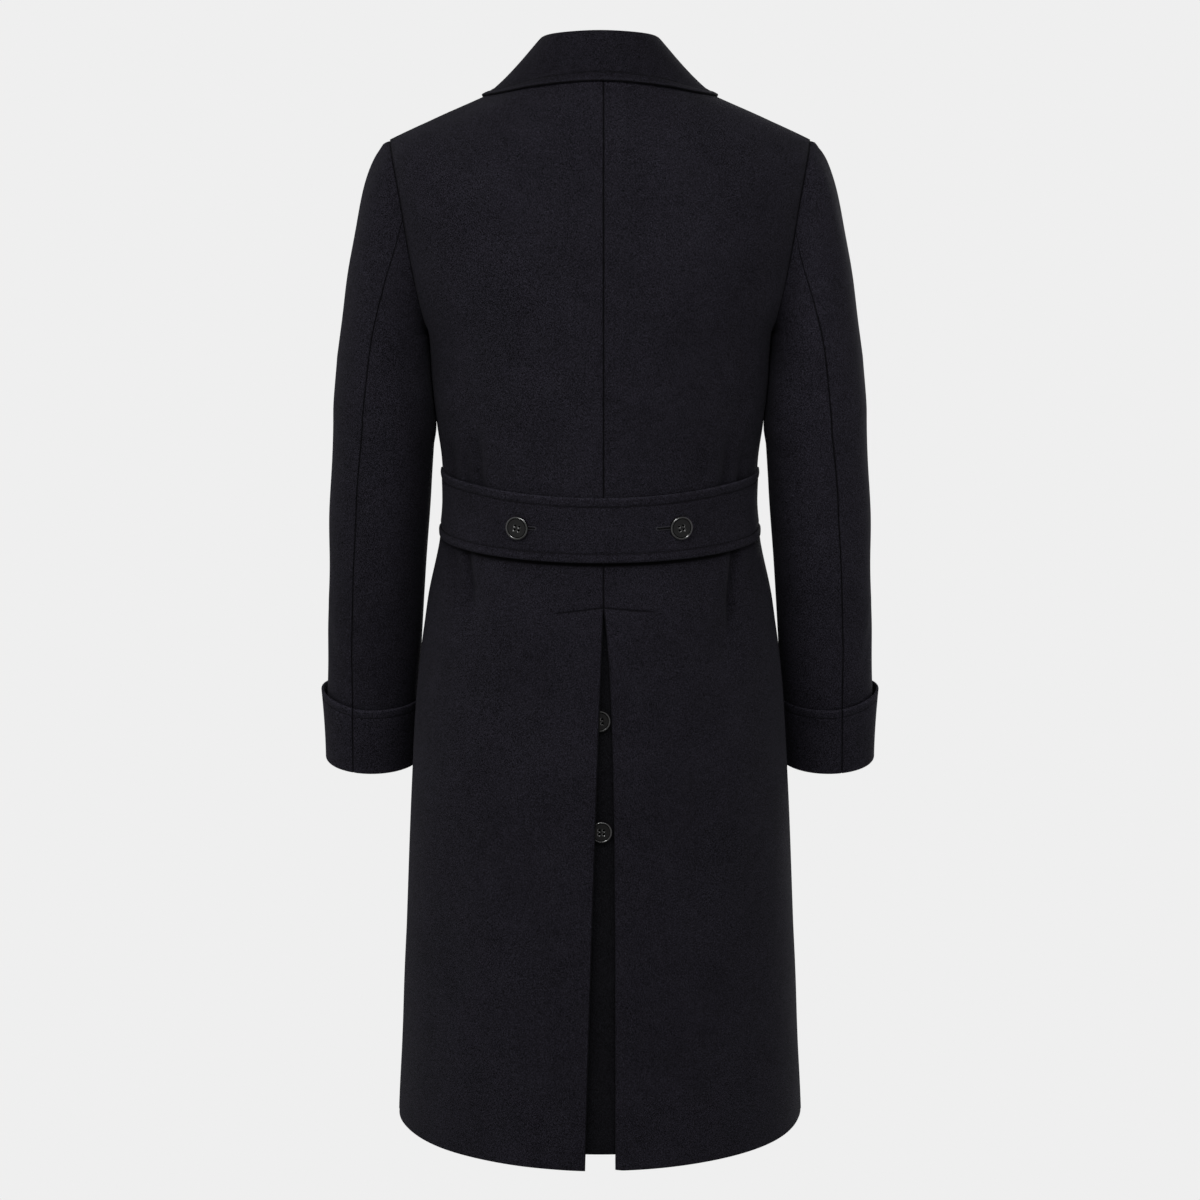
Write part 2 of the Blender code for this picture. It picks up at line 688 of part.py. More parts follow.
def lapel_points(lines, lifted):
    """A left lapel: rows fan out from the roll line to the lapel's edge, from the break to the gorge."""
    start = np.array([-OVERLAP, BREAK_HEIGHT])
    top = np.array([ROLL_TOP_X, ROLL_TOP_HEIGHT])
    tip = np.array([LAPEL_TIP_X, LAPEL_TIP_HEIGHT])
    roll = unit(top - start)
    outward = np.array([roll[1], -roll[0]])
    grid = []
    normals = []
    for share in np.linspace(LAPEL_START, 1, LAPEL_ROWS + 1):
        inner = start + share * GORGE_SHARE * (top - start)
        outer = start + share * (tip - start) + LAPEL_BELLY * math.sin(math.pi * share) * outward
        spots = [inner + part * (outer - inner) for part in np.linspace(0, 1, LAPEL_COLUMNS + 1)]
        found = [surface_at(lines, x, height, -1) for x, height in spots]
        lifts = [front_lift(x, height) if lifted else 0.0 for x, height in spots]
        stand = LAPEL_GAP + LAPEL_WALL
        grid.append([point + normal * (lift + stand) for (point, normal), lift in zip(found, lifts)])
        normals.append([normal for _, normal in found])
    return np.array(grid), np.array(normals)


# Pieces laid on or under the back


def belt_points():
    """The outside of the half belt, from one side seam to the other."""
    grid = []
    for height in np.linspace(BELT_BOTTOM, BELT_TOP, BELT_ROWS + 1):
        line = back_line(skirt_row(height))
        lengths = lengths_of(line)
        grid.append(even_points(line, BELT_END_INSET, lengths[-1] - BELT_END_INSET, BELT_COLUMNS))
    grid = np.array(grid)
    normals = grid_normals(grid, np.array([0.0, 1.0, 0.0]))
    return grid + normals * (LAY_GAP + BELT_WALL), normals


def underlap_points():
    """The outside of the strip behind the vent."""
    grid = []
    for height in np.linspace(UNDERLAP_HEM, UNDERLAP_TOP, UNDERLAP_ROWS + 1):
        line = back_line(skirt_row(height))
        lengths = lengths_of(line)
        start, end = np.interp([-UNDERLAP_HALF_WIDTH, UNDERLAP_HALF_WIDTH], line[:, 0], lengths)
        grid.append(even_points(line, start, end, UNDERLAP_COLUMNS))
    grid = np.array(grid)
    normals = grid_normals(grid, np.array([0.0, 1.0, 0.0]))
    return grid - normals * UNDERLAP_DEPTH, normals


def make_button(name, point, normal, radius):
    """A button with a raised rim round a dished middle, its back on the point."""
    shape = bmesh.new()
    bmesh.ops.create_cone(
        shape, cap_ends=True, segments=BUTTON_SIDES, radius1=radius, radius2=radius, depth=BUTTON_HEIGHT
    )
    bmesh.ops.translate(shape, verts=shape.verts, vec=(0, 0, BUTTON_HEIGHT / 2))
    caps = [face for face in shape.faces if abs(face.normal.z) > CAP_FACING]
    edges = [edge for face in caps for edge in face.edges]
    bmesh.ops.bevel(shape, geom=edges, offset=BUTTON_BEVEL, segments=1, affect="EDGES")
    top = [face for face in shape.faces if face.normal.z > CAP_FACING]
    bmesh.ops.inset_region(shape, faces=top, thickness=BUTTON_RIM, depth=0)
    bmesh.ops.inset_region(shape, faces=top, thickness=BUTTON_RIM, depth=-BUTTON_DISH)
    turn = Vector((0, 0, 1)).rotation_difference(Vector(normal)).to_matrix().to_4x4()
    bmesh.ops.transform(shape, matrix=Matrix.Translation(Vector(point)) @ turn, verts=shape.verts)
    mesh = bpy.data.meshes.new(name)
    shape.to_mesh(mesh)
    shape.free()
    return make_object(name, mesh, HORN, HORN_ROUGHNESS)


def build_body(rows):
    """The back panels, the fronts and the sleeves, joined edge to edge."""
    backward = np.array([0.0, 1.0, 0.0])
    cut = first_armhole_row()
    peak = cut + ARMHOLE_ROWS
    backs = {side: back_points(rows, side) for side in (1, -1)}
    fronts = {1: front_points(rows)}
    fronts[-1] = mirrored(fronts[1])
    back_normals = {side: grid_normals(backs[side], backward) for side in (1, -1)}
    front_normals = {side: grid_normals(fronts[side], -backward) for side in (1, -1)}
    seam_rows = [number for number, row in enumerate(rows) if row.back_centre[2] > VENT_TOP]
    shared = mitre(back_normals[1][seam_rows, 0], back_normals[-1][seam_rows, 0])
    back_normals[1][seam_rows, 0] = shared
    back_normals[-1][seam_rows, 0] = shared

    rings = {1: sleeve_points()}
    rings[-1] = mirrored(rings[1])
    ring_directions = {1: ring_normals(rings[1])}
    ring_directions[-1] = mirrored(ring_directions[1])

    joined_rows = list(range(cut + 1)) + list(range(peak, len(rows)))
    armhole = list(range(cut, peak + 1))
    loop_back = [ARMHOLE_ROWS - step for step in range(ARMHOLE_ROWS + 1)]
    loop_front = [(ARMHOLE_ROWS + step) % (2 * ARMHOLE_ROWS) for step in range(ARMHOLE_ROWS + 1)]
    for side in (1, -1):
        back, front = back_normals[side], front_normals[side]
        seam = mitre(back[joined_rows, -1], front[joined_rows, -1])
        back[joined_rows, -1] = seam
        front[joined_rows, -1] = seam
        cap = ring_directions[side][0].copy()
        back[armhole, -1] = mitre(unit(back[armhole, -1]), cap[loop_back])
        front[armhole, -1] = mitre(unit(front[armhole, -1]), cap[loop_front])
        ring_directions[side][0, loop_front] = front[armhole, -1]
        ring_directions[side][0, loop_back] = back[armhole, -1]

    sewn = ((1, 0), (1, -1), (0, -1))
    for side, word in ((1, "left"), (-1, "right")):
        points = drawn_in(folded(backs[side], back_normals[side]), sewn)
        make_wall(f"back_{word}", points, back_normals[side], WALL)
        points = drawn_in(fronts[side], sewn[1:])
        if side > 0:
            points += front_normals[side] * front_lift(points[..., 0], points[..., 2])[..., None]
        make_wall(f"front_{word}", points, front_normals[side], WALL)
        under = FRONT_SEAM_COLUMN - BACK_SEAM_COLUMN
        spans = (("top", FRONT_SEAM_COLUMN, 2 * ARMHOLE_ROWS - under), ("under", BACK_SEAM_COLUMN, under))
        for piece, start, count in spans:
            points = drawn_in(ring_slice(rings[side], start, count), ((1, 0), (1, -1), (0, 0)))
            directions = ring_slice(ring_directions[side], start, count)
            halves = (("upper", slice(ELBOW_ROW + 1), -1), ("lower", slice(ELBOW_ROW, None), 0))
            for length, part, end in halves:
                name = f"sleeve_{piece}_{word}_{length}"
                make_wall(name, drawn_in(points[part], ((0, end),)), directions[part], WALL)


def build_cuffs():
    rings = {1: cuff_points()}
    rings[-1] = mirrored(rings[1])
    for side, word in ((1, "left"), (-1, "right")):
        whole = 2 * ARMHOLE_ROWS
        points = drawn_in(ring_slice(rings[side], BACK_SEAM_COLUMN, whole), ((1, 0), (1, -1)))
        directions = ring_slice(ring_normals(rings[side]), BACK_SEAM_COLUMN, whole)
        make_wall(f"cuff_{word}", points, directions, CUFF_WALL)


def build_collar(cloud):
    fall = fall_points(cloud)
    up = np.array([0.0, 0.0, 1.0])
    fall_directions = grid_normals(fall, up)
    make_wall("collar_fall", fall, fall_directions, COLLAR_WALL)
    stand = stand_points()
    stand_directions = grid_normals(stand, -stand * np.array([1.0, 1.0, 0.0]))
    make_wall("collar_stand", stand, stand_directions, COLLAR_WALL)


def build_lapels(rows):
    lines = [front_line(row) for row in rows]
    points, directions = lapel_points(lines, True)
    make_wall("lapel_left", points, directions, LAPEL_WALL)
    points, directions = lapel_points(lines, False)
    make_wall("lapel_right", mirrored(points), mirrored(directions), LAPEL_WALL)


def build_back_trim(rows):
    points, directions = belt_points()
    make_wall("half_belt", points, directions, BELT_WALL)
    points, directions = underlap_points()
    make_wall("vent_underlap", points, directions, WALL)
    lines = [back_line(row) for row in rows]
    for side, word in ((1, "left"), (-1, "right")):
        point, normal = surface_at(lines, side * BELT_BUTTON_X, BELT_BUTTON_HEIGHT, 1)
        out = LAY_GAP + BELT_WALL + BUTTON_GAP
        make_button(f"belt_button_{word}", point + normal * out, normal, BUTTON_RADIUS)
    for number, height in enumerate(VENT_BUTTON_HEIGHTS, 1):
        point, normal = surface_at(lines, VENT_BUTTON_X, height, 1)
        out = BUTTON_GAP / 2 - UNDERLAP_DEPTH
        make_button(f"vent_button_{number}", point + normal * out, normal, BUTTON_RADIUS)


def build_front_buttons(rows):
    lines = [front_line(row) for row in rows]
    for side, word in ((1, "left"), (-1, "right")):
        for number, height in enumerate(FRONT_BUTTON_HEIGHTS, 1):
            x = side * FRONT_BUTTON_X
            point, normal = surface_at(lines, x, height, -1)
            out = front_lift(x, height) + BUTTON_GAP
            make_button(f"front_button_{word}_{number}", point + normal * out, normal, FRONT_BUTTON_RADIUS)


def main():
    for old in list(bpy.data.objects):
        bpy.data.objects.remove(old, do_unlink=True)
    rows = torso_rows()
    cloud = torso_cloud()
    build_body(rows)
    build_cuffs()
    build_collar(cloud)
    build_lapels(rows)
    build_back_trim(rows)
    build_front_buttons(rows)


main()
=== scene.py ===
"""The polo coat as it looks: cloth shells, stitching, buttons, finishes, studio light and camera.

Metres, +Z up. The front faces -Y and the wearer's left is +X. The origin lies midway between the neck
ends of the two shoulder seams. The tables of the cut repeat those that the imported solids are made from.
"""

import json
import logging
import math
from collections.abc import Iterable, Sequence
from dataclasses import dataclass, field, replace
from enum import Enum
from typing import NamedTuple

import bmesh
import bpy
import numpy as np
from mathutils import Matrix, Vector
from mathutils.bvhtree import BVHTree
from mathutils.kdtree import KDTree

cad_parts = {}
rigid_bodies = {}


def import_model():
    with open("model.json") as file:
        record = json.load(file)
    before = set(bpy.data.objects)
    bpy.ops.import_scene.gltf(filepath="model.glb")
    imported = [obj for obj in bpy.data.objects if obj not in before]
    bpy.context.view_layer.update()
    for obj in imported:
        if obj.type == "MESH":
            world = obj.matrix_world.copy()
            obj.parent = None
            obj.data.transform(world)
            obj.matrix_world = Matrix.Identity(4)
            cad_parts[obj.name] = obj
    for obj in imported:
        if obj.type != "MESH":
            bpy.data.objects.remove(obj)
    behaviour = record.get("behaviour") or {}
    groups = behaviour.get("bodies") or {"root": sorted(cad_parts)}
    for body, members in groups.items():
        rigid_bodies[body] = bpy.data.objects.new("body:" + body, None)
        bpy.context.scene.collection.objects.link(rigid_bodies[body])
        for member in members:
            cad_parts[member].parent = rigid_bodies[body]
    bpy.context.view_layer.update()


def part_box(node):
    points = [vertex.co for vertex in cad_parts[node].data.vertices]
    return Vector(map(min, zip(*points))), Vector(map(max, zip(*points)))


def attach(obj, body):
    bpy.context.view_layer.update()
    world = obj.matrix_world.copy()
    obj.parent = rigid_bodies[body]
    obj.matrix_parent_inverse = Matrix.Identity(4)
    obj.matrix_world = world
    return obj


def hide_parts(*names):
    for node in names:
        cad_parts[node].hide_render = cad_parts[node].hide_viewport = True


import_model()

Array = np.ndarray
Colour = tuple[float, float, float, float]
Triple = tuple[float, float, float]
Pair = tuple[float, float]
Object = bpy.types.Object
Material = bpy.types.Material
LOG = logging.getLogger("polo_coat")
BODY = "root"

# Cloth thickness, and the spaces between pieces
WALL = 0.0024
SEAM_GAP = -0.00006
LAY_GAP = 0.0008
SEAM_INSET = (WALL + SEAM_GAP) / 2
STITCH = 0.00036
GROOVE = 0.0012
HEM = -1.181
ARMPIT = -0.288
WRIST = -0.787


def table(kind: type, rows: Iterable[Sequence]) -> tuple:
    """Rows under the names of their columns."""
    return tuple(kind(*row) for row in rows)


class Section(NamedTuple):
    """A row round the torso below the armpit."""

    height: float
    half_width: float
    side_y: float


class Centre(NamedTuple):
    """The depth of the centre back or centre front at a height."""

    height: float
    y: float


class ArmholeRow(NamedTuple):
    """A row that ends at the armhole: 0 at the underarm, 1 at the shoulder point."""

    share: float
    back_height: float
    front_height: float
    back_x: float
    back_y: float
    back_z: float
    back_turn: float
    front_x: float
    front_y: float
    front_z: float
    front_turn: float


class CollarStation(NamedTuple):
    """A place along the collar: its fold point, and where the fall's edge rests on the shoulder."""

    along: float
    fold_x: float
    fold_y: float
    fold_z: float
    share: float
    around: float
    spread: float
    drop: float
    notch: float


class SleeveRing(NamedTuple):
    """A ring of the left sleeve, with the lean of its back and the turn of its columns in degrees."""

    height: float
    x: float
    y: float
    half_width: float
    half_depth: float
    pitch: float
    twist: float


class SeamAngles(NamedTuple):
    """The seam at the back of each arm, from armhole to wrist: degrees from the outside of the arm."""

    along: float
    left: float
    right: float


class Crease(NamedTuple):
    """A soft trough in the cloth, or a ridge where its depth is below 0.

    Its middle lies at a place across and a height. Its lean is how far it moves across for each metre up.
    """

    across: float
    height: float
    half_length: float
    half_width: float
    lean: float
    depth: float


SECTIONS = table(Section, (
    (-1.181, 0.2275, 0.000),
    (-0.990, 0.2188, -0.002),
    (-0.790, 0.2103, -0.004),
    (-0.690, 0.2040, -0.006),
    (-0.590, 0.1912, -0.008),
    (-0.522, 0.1777, -0.010),
    (-0.476, 0.1726, -0.010),
    (-0.430, 0.1746, -0.009),
    (-0.390, 0.1797, -0.006),
    (-0.340, 0.1848, -0.002),
    (-0.288, 0.1875, 0.000),
))
CENTRE_BACK = table(Centre, (
    (-1.181, 0.216),
    (-0.990, 0.204),
    (-0.790, 0.190),
    (-0.690, 0.180),
    (-0.590, 0.167),
    (-0.522, 0.158),
    (-0.476, 0.155),
    (-0.390, 0.154),
    (-0.288, 0.155),
    (-0.200, 0.152),
    (-0.138, 0.142),
    (-0.088, 0.128),
    (-0.035, 0.104),
    (0.018, 0.071),
))
CENTRE_FRONT = table(Centre, (
    (-1.181, -0.190),
    (-0.790, -0.174),
    (-0.590, -0.160),
    (-0.476, -0.150),
    (-0.288, -0.148),
    (-0.205, -0.143),
    (-0.130, -0.120),
    (-0.070, -0.080),
))
ARMHOLE = table(ArmholeRow, (
    (0.00, -0.288, -0.288, 0.1875, 0.000, -0.288, 0, 0.1875, 0.000, -0.288, 0),
    (0.16, -0.259, -0.266, 0.1915, 0.037, -0.270, 7, 0.1860, -0.038, -0.268, 8),
    (0.34, -0.227, -0.241, 0.2000, 0.056, -0.230, 15, 0.1880, -0.061, -0.226, 20),
    (0.52, -0.194, -0.214, 0.2085, 0.061, -0.183, 21, 0.1945, -0.067, -0.176, 30),
    (0.69, -0.163, -0.184, 0.2165, 0.055, -0.134, 23, 0.2060, -0.060, -0.126, 33),
    (0.85, -0.134, -0.154, 0.2245, 0.034, -0.0945, 21, 0.2210, -0.038, -0.093, 33),
    (1.00, -0.106, -0.122, 0.2290, -0.006, -0.0775, 17, 0.2290, -0.006, -0.0775, 29),
))
COLLAR = table(CollarStation, (
    (-0.30, -0.0405, 0.0540, 0.0466, 0.795, -0.50, 0.011, 0.004, 0.0),
    (0.00, 0.0000, 0.0630, 0.0498, 0.826, 0.00, 0.012, 0.002, 0.0),
    (0.30, 0.0405, 0.0540, 0.0466, 0.795, 0.50, 0.011, 0.004, 0.0),
    (0.55, 0.0648, 0.0140, 0.0350, 0.672, 1.00, 0.009, 0.009, 0.0),
    (0.74, 0.0675, -0.0220, 0.0125, 0.590, 1.22, 0.009, 0.006, 0.0),
    (0.88, 0.0655, -0.0500, -0.0150, 0.535, 1.33, 0.010, 0.006, 0.001),
    (1.00, 0.0540, -0.0790, -0.0515, 0.470, 1.45, 0.014, 0.006, 0.003),
))
SLEEVE = table(SleeveRing, (
    (-0.315, 0.2385, 0.000, 0.0500, 0.0705, 0, 0),
    (-0.380, 0.2378, 0.000, 0.0560, 0.0675, 0, 5),
    (-0.460, 0.2420, -0.004, 0.0560, 0.0635, 2, 6),
    (-0.550, 0.2470, -0.017, 0.0540, 0.0600, 4, 6),
    (-0.640, 0.2518, -0.040, 0.0526, 0.0565, 6, 6),
    (-0.715, 0.2552, -0.060, 0.0514, 0.0545, 7, 6),
    (-0.782, 0.2568, -0.077, 0.0507, 0.0530, 7, 6),
))

BACK_SEAMS = table(SeamAngles, (
    (0.00, 70.0, 77.0),
    (0.065, 78.4, 86.6),
    (0.11, 79.8, 88.4),
    (0.17, 79.0, 87.0),
    (0.25, 75.8, 83.0),
    (0.30, 74.2, 81.4),
    (0.40, 72.6, 79.9),
    (0.46, 70.9, 77.9),
    (0.55, 69.6, 76.6),
    (0.66, 68.2, 75.3),
    (0.77, 68.4, 75.6),
    (0.85, 70.6, 77.8),
    (1.00, 73.0, 79.6),
))

# Creases of the back, across and height in metres: where the half belt draws in the waist, first the four
# wide ones of the solids. The folds are the sharp ones that lie in them.
BACK_CREASES = table(Crease, (
    (0.140, -0.3685, 0.0685, 0.0150, 0.16, 0.0036),
    (-0.145, -0.3785, 0.0585, 0.0150, -0.16, 0.0033),
    (0.138, -0.5790, 0.0610, 0.0160, 0.00, 0.0045),
    (-0.140, -0.5940, 0.0760, 0.0160, 0.00, 0.0055),
    (0.1120, -0.4280, 0.0380, 0.0080, -0.30, 0.0011),
    (-0.1060, -0.4250, 0.0400, 0.0090, 0.28, 0.0011),
    (0.1150, -0.5420, 0.0420, 0.0090, 0.20, 0.0011),
    (-0.1120, -0.5460, 0.0460, 0.0080, -0.18, 0.0012),
    (0.0950, -0.8200, 0.2600, 0.0340, 0.06, 0.0022),
    (-0.1050, -0.8700, 0.2400, 0.0300, -0.05, 0.0018),
    (0.1650, -0.9000, 0.2200, 0.0260, 0.05, 0.0020),
    (-0.1700, -0.8600, 0.2300, 0.0280, -0.06, 0.0022),
))
BACK_FOLDS = table(Crease, (
    (0.1320, -0.4300, 0.0600, 0.0062, 0.12, 0.0042),
    (0.1450, -0.4360, 0.0480, 0.0050, 0.10, 0.0034),
    (0.1600, -0.4300, 0.0500, 0.0056, 0.06, 0.0026),
    (-0.1370, -0.4320, 0.0580, 0.0062, -0.16, 0.0040),
    (-0.1535, -0.4370, 0.0460, 0.0052, -0.10, 0.0034),
    (0.1450, -0.5330, 0.0480, 0.0048, 0.03, 0.0050),
    (-0.1465, -0.5420, 0.0740, 0.0044, -0.02, 0.0056),
    (0.1580, -0.5380, 0.0400, 0.0066, 0.10, 0.0020),
))

# Creases of the fronts: drawn from the fastened buttons, and down the skirt
FRONT_CREASES = table(Crease, (
    (0.1150, -0.4300, 0.0900, 0.0140, -0.22, 0.0022),
    (-0.1180, -0.4500, 0.0800, 0.0130, 0.26, 0.0020),
    (0.1350, -0.5600, 0.0700, 0.0110, 0.15, 0.0018),
    (-0.1300, -0.5700, 0.0850, 0.0120, -0.18, 0.0020),
    (0.1200, -0.8400, 0.2400, 0.0320, 0.05, 0.0022),
    (-0.1250, -0.8800, 0.2300, 0.0300, -0.06, 0.0024),
    (0.0150, -0.9000, 0.2200, 0.0300, 0.02, 0.0016),
))
# Creases of the sleeves, across as metres round the arm from its outside towards its back: at the elbow's
# bend, which faces forward, and above the cuff
SLEEVE_CREASES = table(Crease, (
    (-0.085, -0.470, 0.045, 0.0090, 1.10, 0.0026),
    (-0.092, -0.515, 0.055, 0.0085, 0.70, 0.0030),
    (-0.080, -0.560, 0.045, 0.0090, -0.40, 0.0024),
    (0.060, -0.520, 0.070, 0.0140, 0.35, 0.0010),
    (0.030, -0.640, 0.050, 0.0110, -0.50, 0.0009),
    (-0.060, -0.680, 0.045, 0.0100, 0.60, 0.0014),
))
CREASE_FADE = 0.35
SETTLING_ROUNDS = 60

# Rows of a body panel along the armhole and the shoulder seam
ARMHOLE_SHARES = np.linspace(0, 1, 46)[1:]
SHOULDER_SHARES = np.linspace(0, 1 - 0.0085, 29)[1:]


class Face(Enum):
    """A face of the torso, by the sign of its outward direction along Y."""

    BACK = 1.0
    FRONT = -1.0


class Side(Enum):
    """A side of a grid of cloth, by its axis and end."""

    FIRST_ROW = (0, 0)
    LAST_ROW = (0, -1)
    FIRST_COLUMN = (1, 0)
    LAST_COLUMN = (1, -1)


class Hand(Enum):
    """A side of the wearer, by the sign of its X."""

    LEFT = 1
    RIGHT = -1

    def of(self, pair: Sequence) -> object:
        """The one of a left and a right thing that is on this side."""
        return pair[0 if self is Hand.LEFT else 1]

    @property
    def word(self) -> str:
        """The name of this side in the names of pieces."""
        return self.name.lower()


def ease(start: float, end: float, at: Array) -> Array:
    """A soft step, from 0 at start to 1 at end, which may lie below start."""
    t = np.clip((np.asarray(at, float) - start) / (end - start), 0, 1)
    return t * t * (3 - 2 * t)


def bell(distance: Array, width: float) -> Array:
    """A soft bump: 1 at no distance, and almost 0 at twice its width."""
    return np.exp(-((distance / width) ** 2))


def unit(vectors: Array) -> Array:
    """The vectors at a length of 1."""
    return vectors / np.maximum(np.linalg.norm(vectors, axis=-1, keepdims=True), 1e-12)


def mirrored(points: Array) -> Array:
    """The points on the other side of the wearer."""
    return points * np.array([-1.0, 1.0, 1.0])


def bezier(start: Array, leave: Array, arrive: Array, end: Array, shares: Array) -> Array:
    """Points at shares of cubic curves, each with two ends and two handles."""
    rest = 1 - shares
    return rest**3 * start + 3 * rest**2 * shares * leave + 3 * rest * shares**2 * arrive + shares**3 * end


def curves(count: int, *corners: Array) -> Array:
    """So many samples of each of the cubic curves with these starts, handles and ends."""
    shares = np.linspace(0, 1, count).reshape(1, -1, 1)
    return bezier(*(points[:, None] for points in corners), shares)


def lengths_along(lines: Array) -> Array:
    """Length from the start to each point of one or more lines."""
    steps = np.linalg.norm(np.diff(lines, axis=-2), axis=-1)
    return np.concatenate([np.zeros_like(steps[..., :1]), np.cumsum(steps, axis=-1)], axis=-1)


def at_lengths(line: Array, wanted: Array, values: Array | None = None) -> Array:
    """Points of a line at the wanted lengths from its start, or other values that go with them."""
    lengths, found = lengths_along(line), line if values is None else values
    return np.stack([np.interp(wanted, lengths, found[:, axis]) for axis in range(3)], axis=-1)


def spread(lines: Array, start: Array, end: Array, shares: Array) -> Array:
    """A grid with a row of points on each line, at shares of the way between two lengths along it."""
    wanted = start[:, None] + shares * (end - start)[:, None]
    return np.array([at_lengths(line, lengths) for line, lengths in zip(lines, wanted)])


def end_heavy(count: int, share: float = 0.75) -> Array:
    """Places from 0 to 1, closer together at both ends by the share that follows a cosine."""
    t = np.linspace(0, 1, count)
    return (1 - share) * t + share * (0.5 - 0.5 * np.cos(math.pi * t))


def crease_depth(creases: Sequence[Crease], across: Array, height: Array) -> Array:
    """How deep a set of creases is at each point.

    Args:
        creases: The creases.
        across: Place of each point across the cloth.
        height: Height of each point.

    Returns:
        Depths, above 0 in a trough.
    """
    depth = np.zeros(np.broadcast(across, height).shape)
    for crease in creases:
        up = height - crease.height
        aside = (across - crease.across - crease.lean * up) / crease.half_width
        fade = 1 - ease(CREASE_FADE, 1, np.abs(up) / crease.half_length)
        depth += crease.depth * np.exp(-(aside**2)) * fade
    return depth


# Directions and phases of the slow swells in a cloth that hangs free
SWELLS = (((31, 9, 17), 0.4), ((-19, 13, 29), 2.1), ((47, -21, 12), 4.0), ((11, 37, -41), 1.2))


def unevenness(points: Array, depth: float) -> Array:
    """Heights of the slow swells at points of a cloth, none of them higher than a depth."""
    total = sum(np.sin(points @ np.array(wave, float) + phase) for wave, phase in SWELLS)
    return depth * total / len(SWELLS)


class Spline:
    """A cubic curve through the rows of a table that never swings past them."""

    def __init__(self, table: Sequence[tuple]) -> None:
        """Works out the curve's tangents.

        Args:
            table: Rows of numbers, of which the first places the row on the curve.
        """
        rows = np.array(table, float)
        self.values = rows[np.argsort(rows[:, 0])]
        self.knots = self.values[:, 0]
        steps = np.diff(self.knots)[:, None]
        slopes = np.diff(self.values, axis=0) / steps
        before, after = slopes[:-1], slopes[1:]
        same = before * after > 0
        first, second = 2 * steps[1:] + steps[:-1], steps[1:] + 2 * steps[:-1]
        inner = (first + second) / (first / np.where(same, before, 1) + second / np.where(same, after, 1))
        self.tangents = np.vstack([slopes[:1], np.where(same, inner, 0), slopes[-1:]])

    def __call__(self, at: Array) -> Array:
        """Rows of the table, read between its knots.

        Args:
            at: Places on the curve.

        Returns:
            Values with one more axis than the places, for the table's columns.
        """
        at = np.clip(np.asarray(at, float), self.knots[0], self.knots[-1])
        index = np.clip(np.searchsorted(self.knots, at, side="right") - 1, 0, len(self.knots) - 2)
        step = (self.knots[index + 1] - self.knots[index])[..., None]
        t = (at - self.knots[index])[..., None] / step
        low, high = self.values[index], self.values[index + 1]
        rise = low * (1 + 2 * t) * (1 - t) ** 2 + high * t * t * (3 - 2 * t)
        bend = self.tangents[index] * t * (1 - t) ** 2 - self.tangents[index + 1] * t * t * (1 - t)
        return rise + step * bend


class Rows(NamedTuple):
    """Rows of cloth round one face of the torso: centre points, left edge points and inward turns."""

    centre: Array
    edge: Array
    turn: Array


